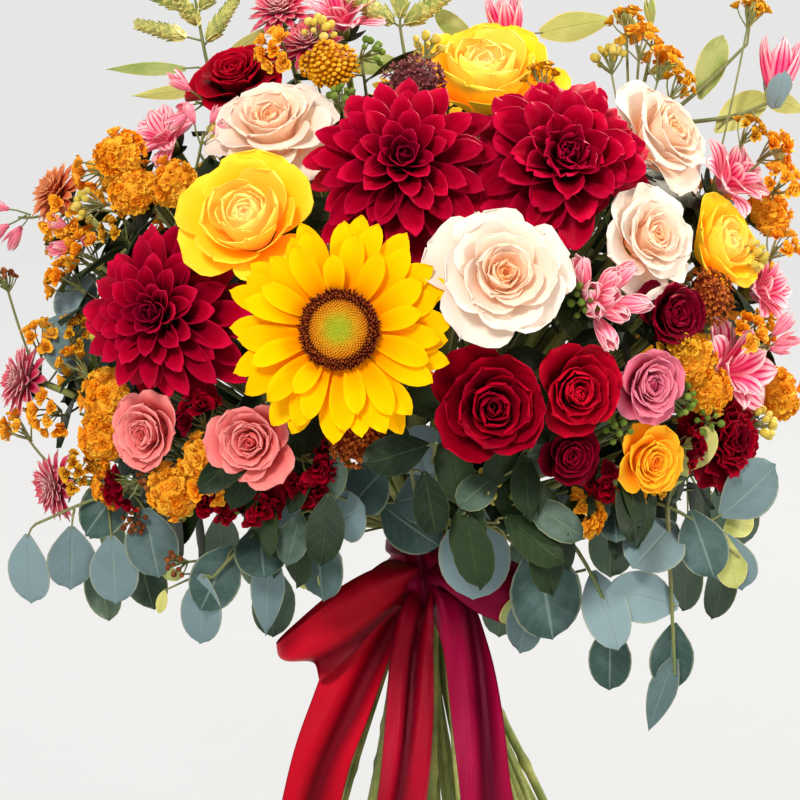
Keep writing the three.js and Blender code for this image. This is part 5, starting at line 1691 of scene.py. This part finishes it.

# Ribbon: satin lengths. gather is how far the width is drawn in, relief how deep the folds are
# for it, and shadeTurn how fast the satin brightens away from the knot, as its painted shade there fades.
ribbon = {"width": 0.045, "wall": 0.0004, "gather": 0.78, "relief": 0.9, "shadeTurn": 26}
satinSheen = (1.0, 0.25, 0.3)
satinTones = {
    "scarlet": {
        "body": (0.44, 0.0, 0.010), "other": (0.62, 0.0, 0.016), "shade": (0.08, 0.0, 0.005),
        "sheen": satinSheen, "knotShadeEnd": 1.4,
    },
    "ruby": {
        "body": (0.24, 0.0, 0.009), "other": (0.40, 0.0, 0.018), "shade": (0.05, 0.0, 0.004),
        "sheen": satinSheen, "knotShadeEnd": 2.2,
    },
    "wine": {
        "body": (0.24, 0.0, 0.022), "other": (0.38, 0.0, 0.045), "shade": (0.05, 0.0, 0.006),
        "sheen": (1.0, 0.25, 0.45), "knotShadeEnd": 1.4,
    },
}
satinSkins = {name: satinSkin(name + "Satin", look) for name, look in satinTones.items()}


def ribbonLength(name, node, rows, pleats, skin, steps=9):
    # each row is a middle spot and the direction across, whose length is the share of the width
    middles = smoothLine([row[0] for row in rows], steps)
    acrosses = smoothLine([row[1] for row in rows], steps)
    length = sum((b - a).length for a, b in zip(middles, middles[1:]))
    bm = startMesh()
    mark = bm.verts.layers.float_vector["petal"]
    count = len(middles) - 1
    grid = bmesh.ops.create_grid(bm, x_segments=16, y_segments=count, size=0.5)
    for vert in grid["verts"]:
        u = -vert.co.x * 2
        i = round((vert.co.y + 0.5) * count)
        before, after = middles[max(i - 1, 0)], middles[min(i + 1, count)]
        ahead = (after - before).normalized()
        across = (acrosses[i] - ahead * acrosses[i].dot(ahead)).normalized()
        share = min(acrosses[i].length, 1.0) * ribbon["gather"]
        half = ribbon["width"] / 2 * share
        fold = ribbon["width"] / (math.pi * pleats) * math.sqrt(1 - share * share) * ribbon["relief"]
        turn = u * pleats * math.pi / 2 + i * 0.05 + pleats
        flow = math.sin(turn) + 0.35 * math.sin(turn * 1.9 + i * 0.09)
        ease = 0.0015 * math.sin(i * 0.24 + u * 1.3)
        # the tone carries each fold's depth, for the painted shade in its valleys
        vert[mark] = (u, i / count * length * ribbon["shadeTurn"], 0.5 + 0.4 * flow)
        vert.co = middles[i] + across * u * half + ahead.cross(across) * (flow * fold + ease)
    piece = finishMesh(bm, name, [node], satinSkins[skin], thick=ribbon["wall"])
    print("  ", name, "flat length", round(length, 4))


# Rows of the bow: a spot and the direction across. The hanging tails give all but their
# first spot as seen in the photograph: across, up and depth.
bowLengths = {
    "ribbon_knot": ([
        (1, -20, 199, 0.62, 0, 0), (1, -31, 197, 0.60, 0, 0), (1, -39, 203, 0.56, 0, 0),
        (1, -42, 213, 0.54, 0, 0), (1, -39, 224, 0.56, 0, 0), (1, -31, 229, 0.60, 0, 0),
        (1, -20, 227, 0.62, 0, 0),
    ], 3, "wine", "folded", ["stems_round"]),
    "ribbon_loop_left": ([
        (-5, -34, 217, 0.1, 0, -0.4), (-18, -48, 210, 0.3, 0.1, -0.8), (-42, -60, 192, 0.45, 0, -0.85),
        (-62, -61, 175, 0.6, 0, -0.78), (-71, -55, 167, 0.62, 0, -0.74), (-64, -46, 172, 0.6, 0, -0.76),
        (-42, -40, 190, 0.5, 0, -0.8), (-18, -32, 205, 0.3, 0, -0.7), (-5, -28, 211, 0.1, 0, -0.4),
    ], 1.6, "scarlet", "folded", ["ribbon_knot"]),
    "ribbon_loop_right": ([
        (8, -34, 217, 0, 0, 0.4), (22, -49, 217, 0, 0, 0.8), (42, -62, 213, 0.05, 0, 1.0),
        (60, -62, 206, 0.12, 0, 1.0), (69, -54, 201, 0.14, 0, 1.0), (62, -44, 202, 0.12, 0, 1.0),
        (42, -38, 207, 0.08, 0, 0.95), (22, -32, 210, 0, 0, 0.75), (8, -28, 212, 0, 0, 0.4),
    ], 1.6, "wine", "folded", ["ribbon_knot"]),
    "ribbon_tail_left": ([
        (-4, -31, 206, 0.4, 0, -0.08), (-22, 190, -39.5, 0.8, 0, -0.3), (-34, 165, -45, 0.94, 0, -0.25),
        (-49, 125, -53, 0.97, 0.1, -0.2), (-62, 88, -60, 0.97, 0.1, -0.2),
        (-74, 34, -68, 0.97, 0.1, -0.25),
    ], 2, "scarlet", "hung", ["ribbon_knot"]),
    "ribbon_tail_middle": ([
        (1, -29, 204, 0.4, 0, 0), (-3, 184, -47, 0.62, -0.1, 0), (-5, 158, -54, 0.7, 0.2, 0),
        (-7, 120, -67, 0.75, 0.25, 0), (-10, 79, -82, 0.82, 0.2, 0), (-14, 44, -95, 0.84, 0.2, 0.1),
    ], 3, "ruby", "hung", ["ribbon_knot"]),
    "ribbon_tail_right": ([
        (6, -31, 206, 0.4, 0, 0.05), (19, 188, -41, 0.7, 0.1, 0.1), (28, 160, -49, 0.76, 0.2, 0.1),
        (34, 120, -63, 0.82, 0.2, 0.12), (39, 79, -78, 0.85, 0.2, 0.12), (44, 38, -92, 0.9, 0.2, 0.2),
    ], 2, "wine", "hung", ["ribbon_knot"]),
}
for name, (table, pleats, skin, held, restsOn) in bowLengths.items():
    rows = []
    for row in table:
        asSeen = held == "hung" and len(rows) > 0
        rows.append((seen(*row[:3]) if asSeen else Vector(row[:3]) * mm, Vector(row[3:])))
    ribbonLength(name, "ribbon_bow", rows, pleats, skin)

# the band goes once round the tie and a little past its own start
wrap = {"spots": 21, "radius": 0.0204, "rise": 0.217, "overlap": 1.04, "step": 0.0004}
band = []
for k in range(wrap["spots"]):
    share = k / (wrap["spots"] - 1)
    turn = math.pi / 2 - share * 2 * math.pi * wrap["overlap"]
    reach = wrap["radius"] + wrap["step"] * share
    band.append((around(turn, reach, wrap["rise"]), Vector((0, 0, 0.92))))
ribbonLength("ribbon_band", "ribbon_wrap", band, 5, "wine", steps=4)
print("ribbon made")


# Room: a pale round dish, flat to flatTo and then curving up, a soft front light and warm
# ones from the side and behind.
studio = {
    "floor": (0.05, 0.05, 0.05), "speck": (0.06, 0.06, 0.06), "glow": 0.77, "world": 0.24,
    "flat": 0.6, "flatTo": 5.5, "curve": 3.5,
}


def sweep():
    shade = Shade("paleSweep")
    grain = shade.noise(shade.place(), 30.0, 2.0)
    skin = shade.finish({
        "Base Color": shade.mix(grain, studio["floor"], studio["speck"]),
        "Roughness": 0.9,
        "Specular IOR Level": 0.0,
        "Emission Color": (1.0, 1.0, 0.995, 1.0),
        "Emission Strength": studio["glow"],
    })
    bm = bmesh.new()
    made = bmesh.ops.create_grid(bm, x_segments=60, y_segments=60, size=1.0)["verts"]
    for vert in made:
        # the flat share of the square grid becomes the floor, the rest the rising rim
        far = max(abs(vert.co.x), abs(vert.co.y))
        turn = math.atan2(vert.co.y, vert.co.x)
        bend = max(far - studio["flat"], 0.0) / (1 - studio["flat"]) * math.pi / 2
        reach = min(far, studio["flat"]) / studio["flat"] * studio["flatTo"]
        reach += studio["curve"] * math.sin(bend)
        vert.co = around(turn, reach, studio["curve"] * (1 - math.cos(bend)))
    for face in bm.faces:
        face.smooth = True
    mesh = bpy.data.meshes.new("sweep")
    bm.to_mesh(mesh)
    bm.free()
    mesh.materials.append(skin)
    linked("sweep", mesh)


def softLight(name, place, size, power, colour):
    data = bpy.data.lights.new(name, "AREA")
    data.shape = "DISK"
    data.size = size
    data.energy = power
    data.color = colour
    light = linked(name, data)
    light.location = place
    aim = Vector((0, 0, 0.33)) - Vector(place)
    light.rotation_euler = aim.to_track_quat("-Z", "Y").to_euler()


# place, size, power and colour
lights = {
    "front": ((-0.7, -2.0, 1.9), 0.6, 50, (1.0, 0.98, 0.95)),
    "side": ((1.8, -0.6, 1.5), 0.5, 27, (1.0, 0.95, 0.88)),
    "back": ((1.0, 1.2, 1.9), 0.5, 90, (1.0, 0.9, 0.74)),
}
sweep()
for name, row in lights.items():
    softLight(name, *row)
world = bpy.data.worlds.new("softRoom")
world.use_nodes = True
background = world.node_tree.nodes["Background"].inputs
background["Color"].default_value = (1.0, 1.0, 1.0, 1.0)
background["Strength"].default_value = studio["world"]
bpy.context.scene.world = world
bpy.context.scene.view_settings.view_transform = "Standard"
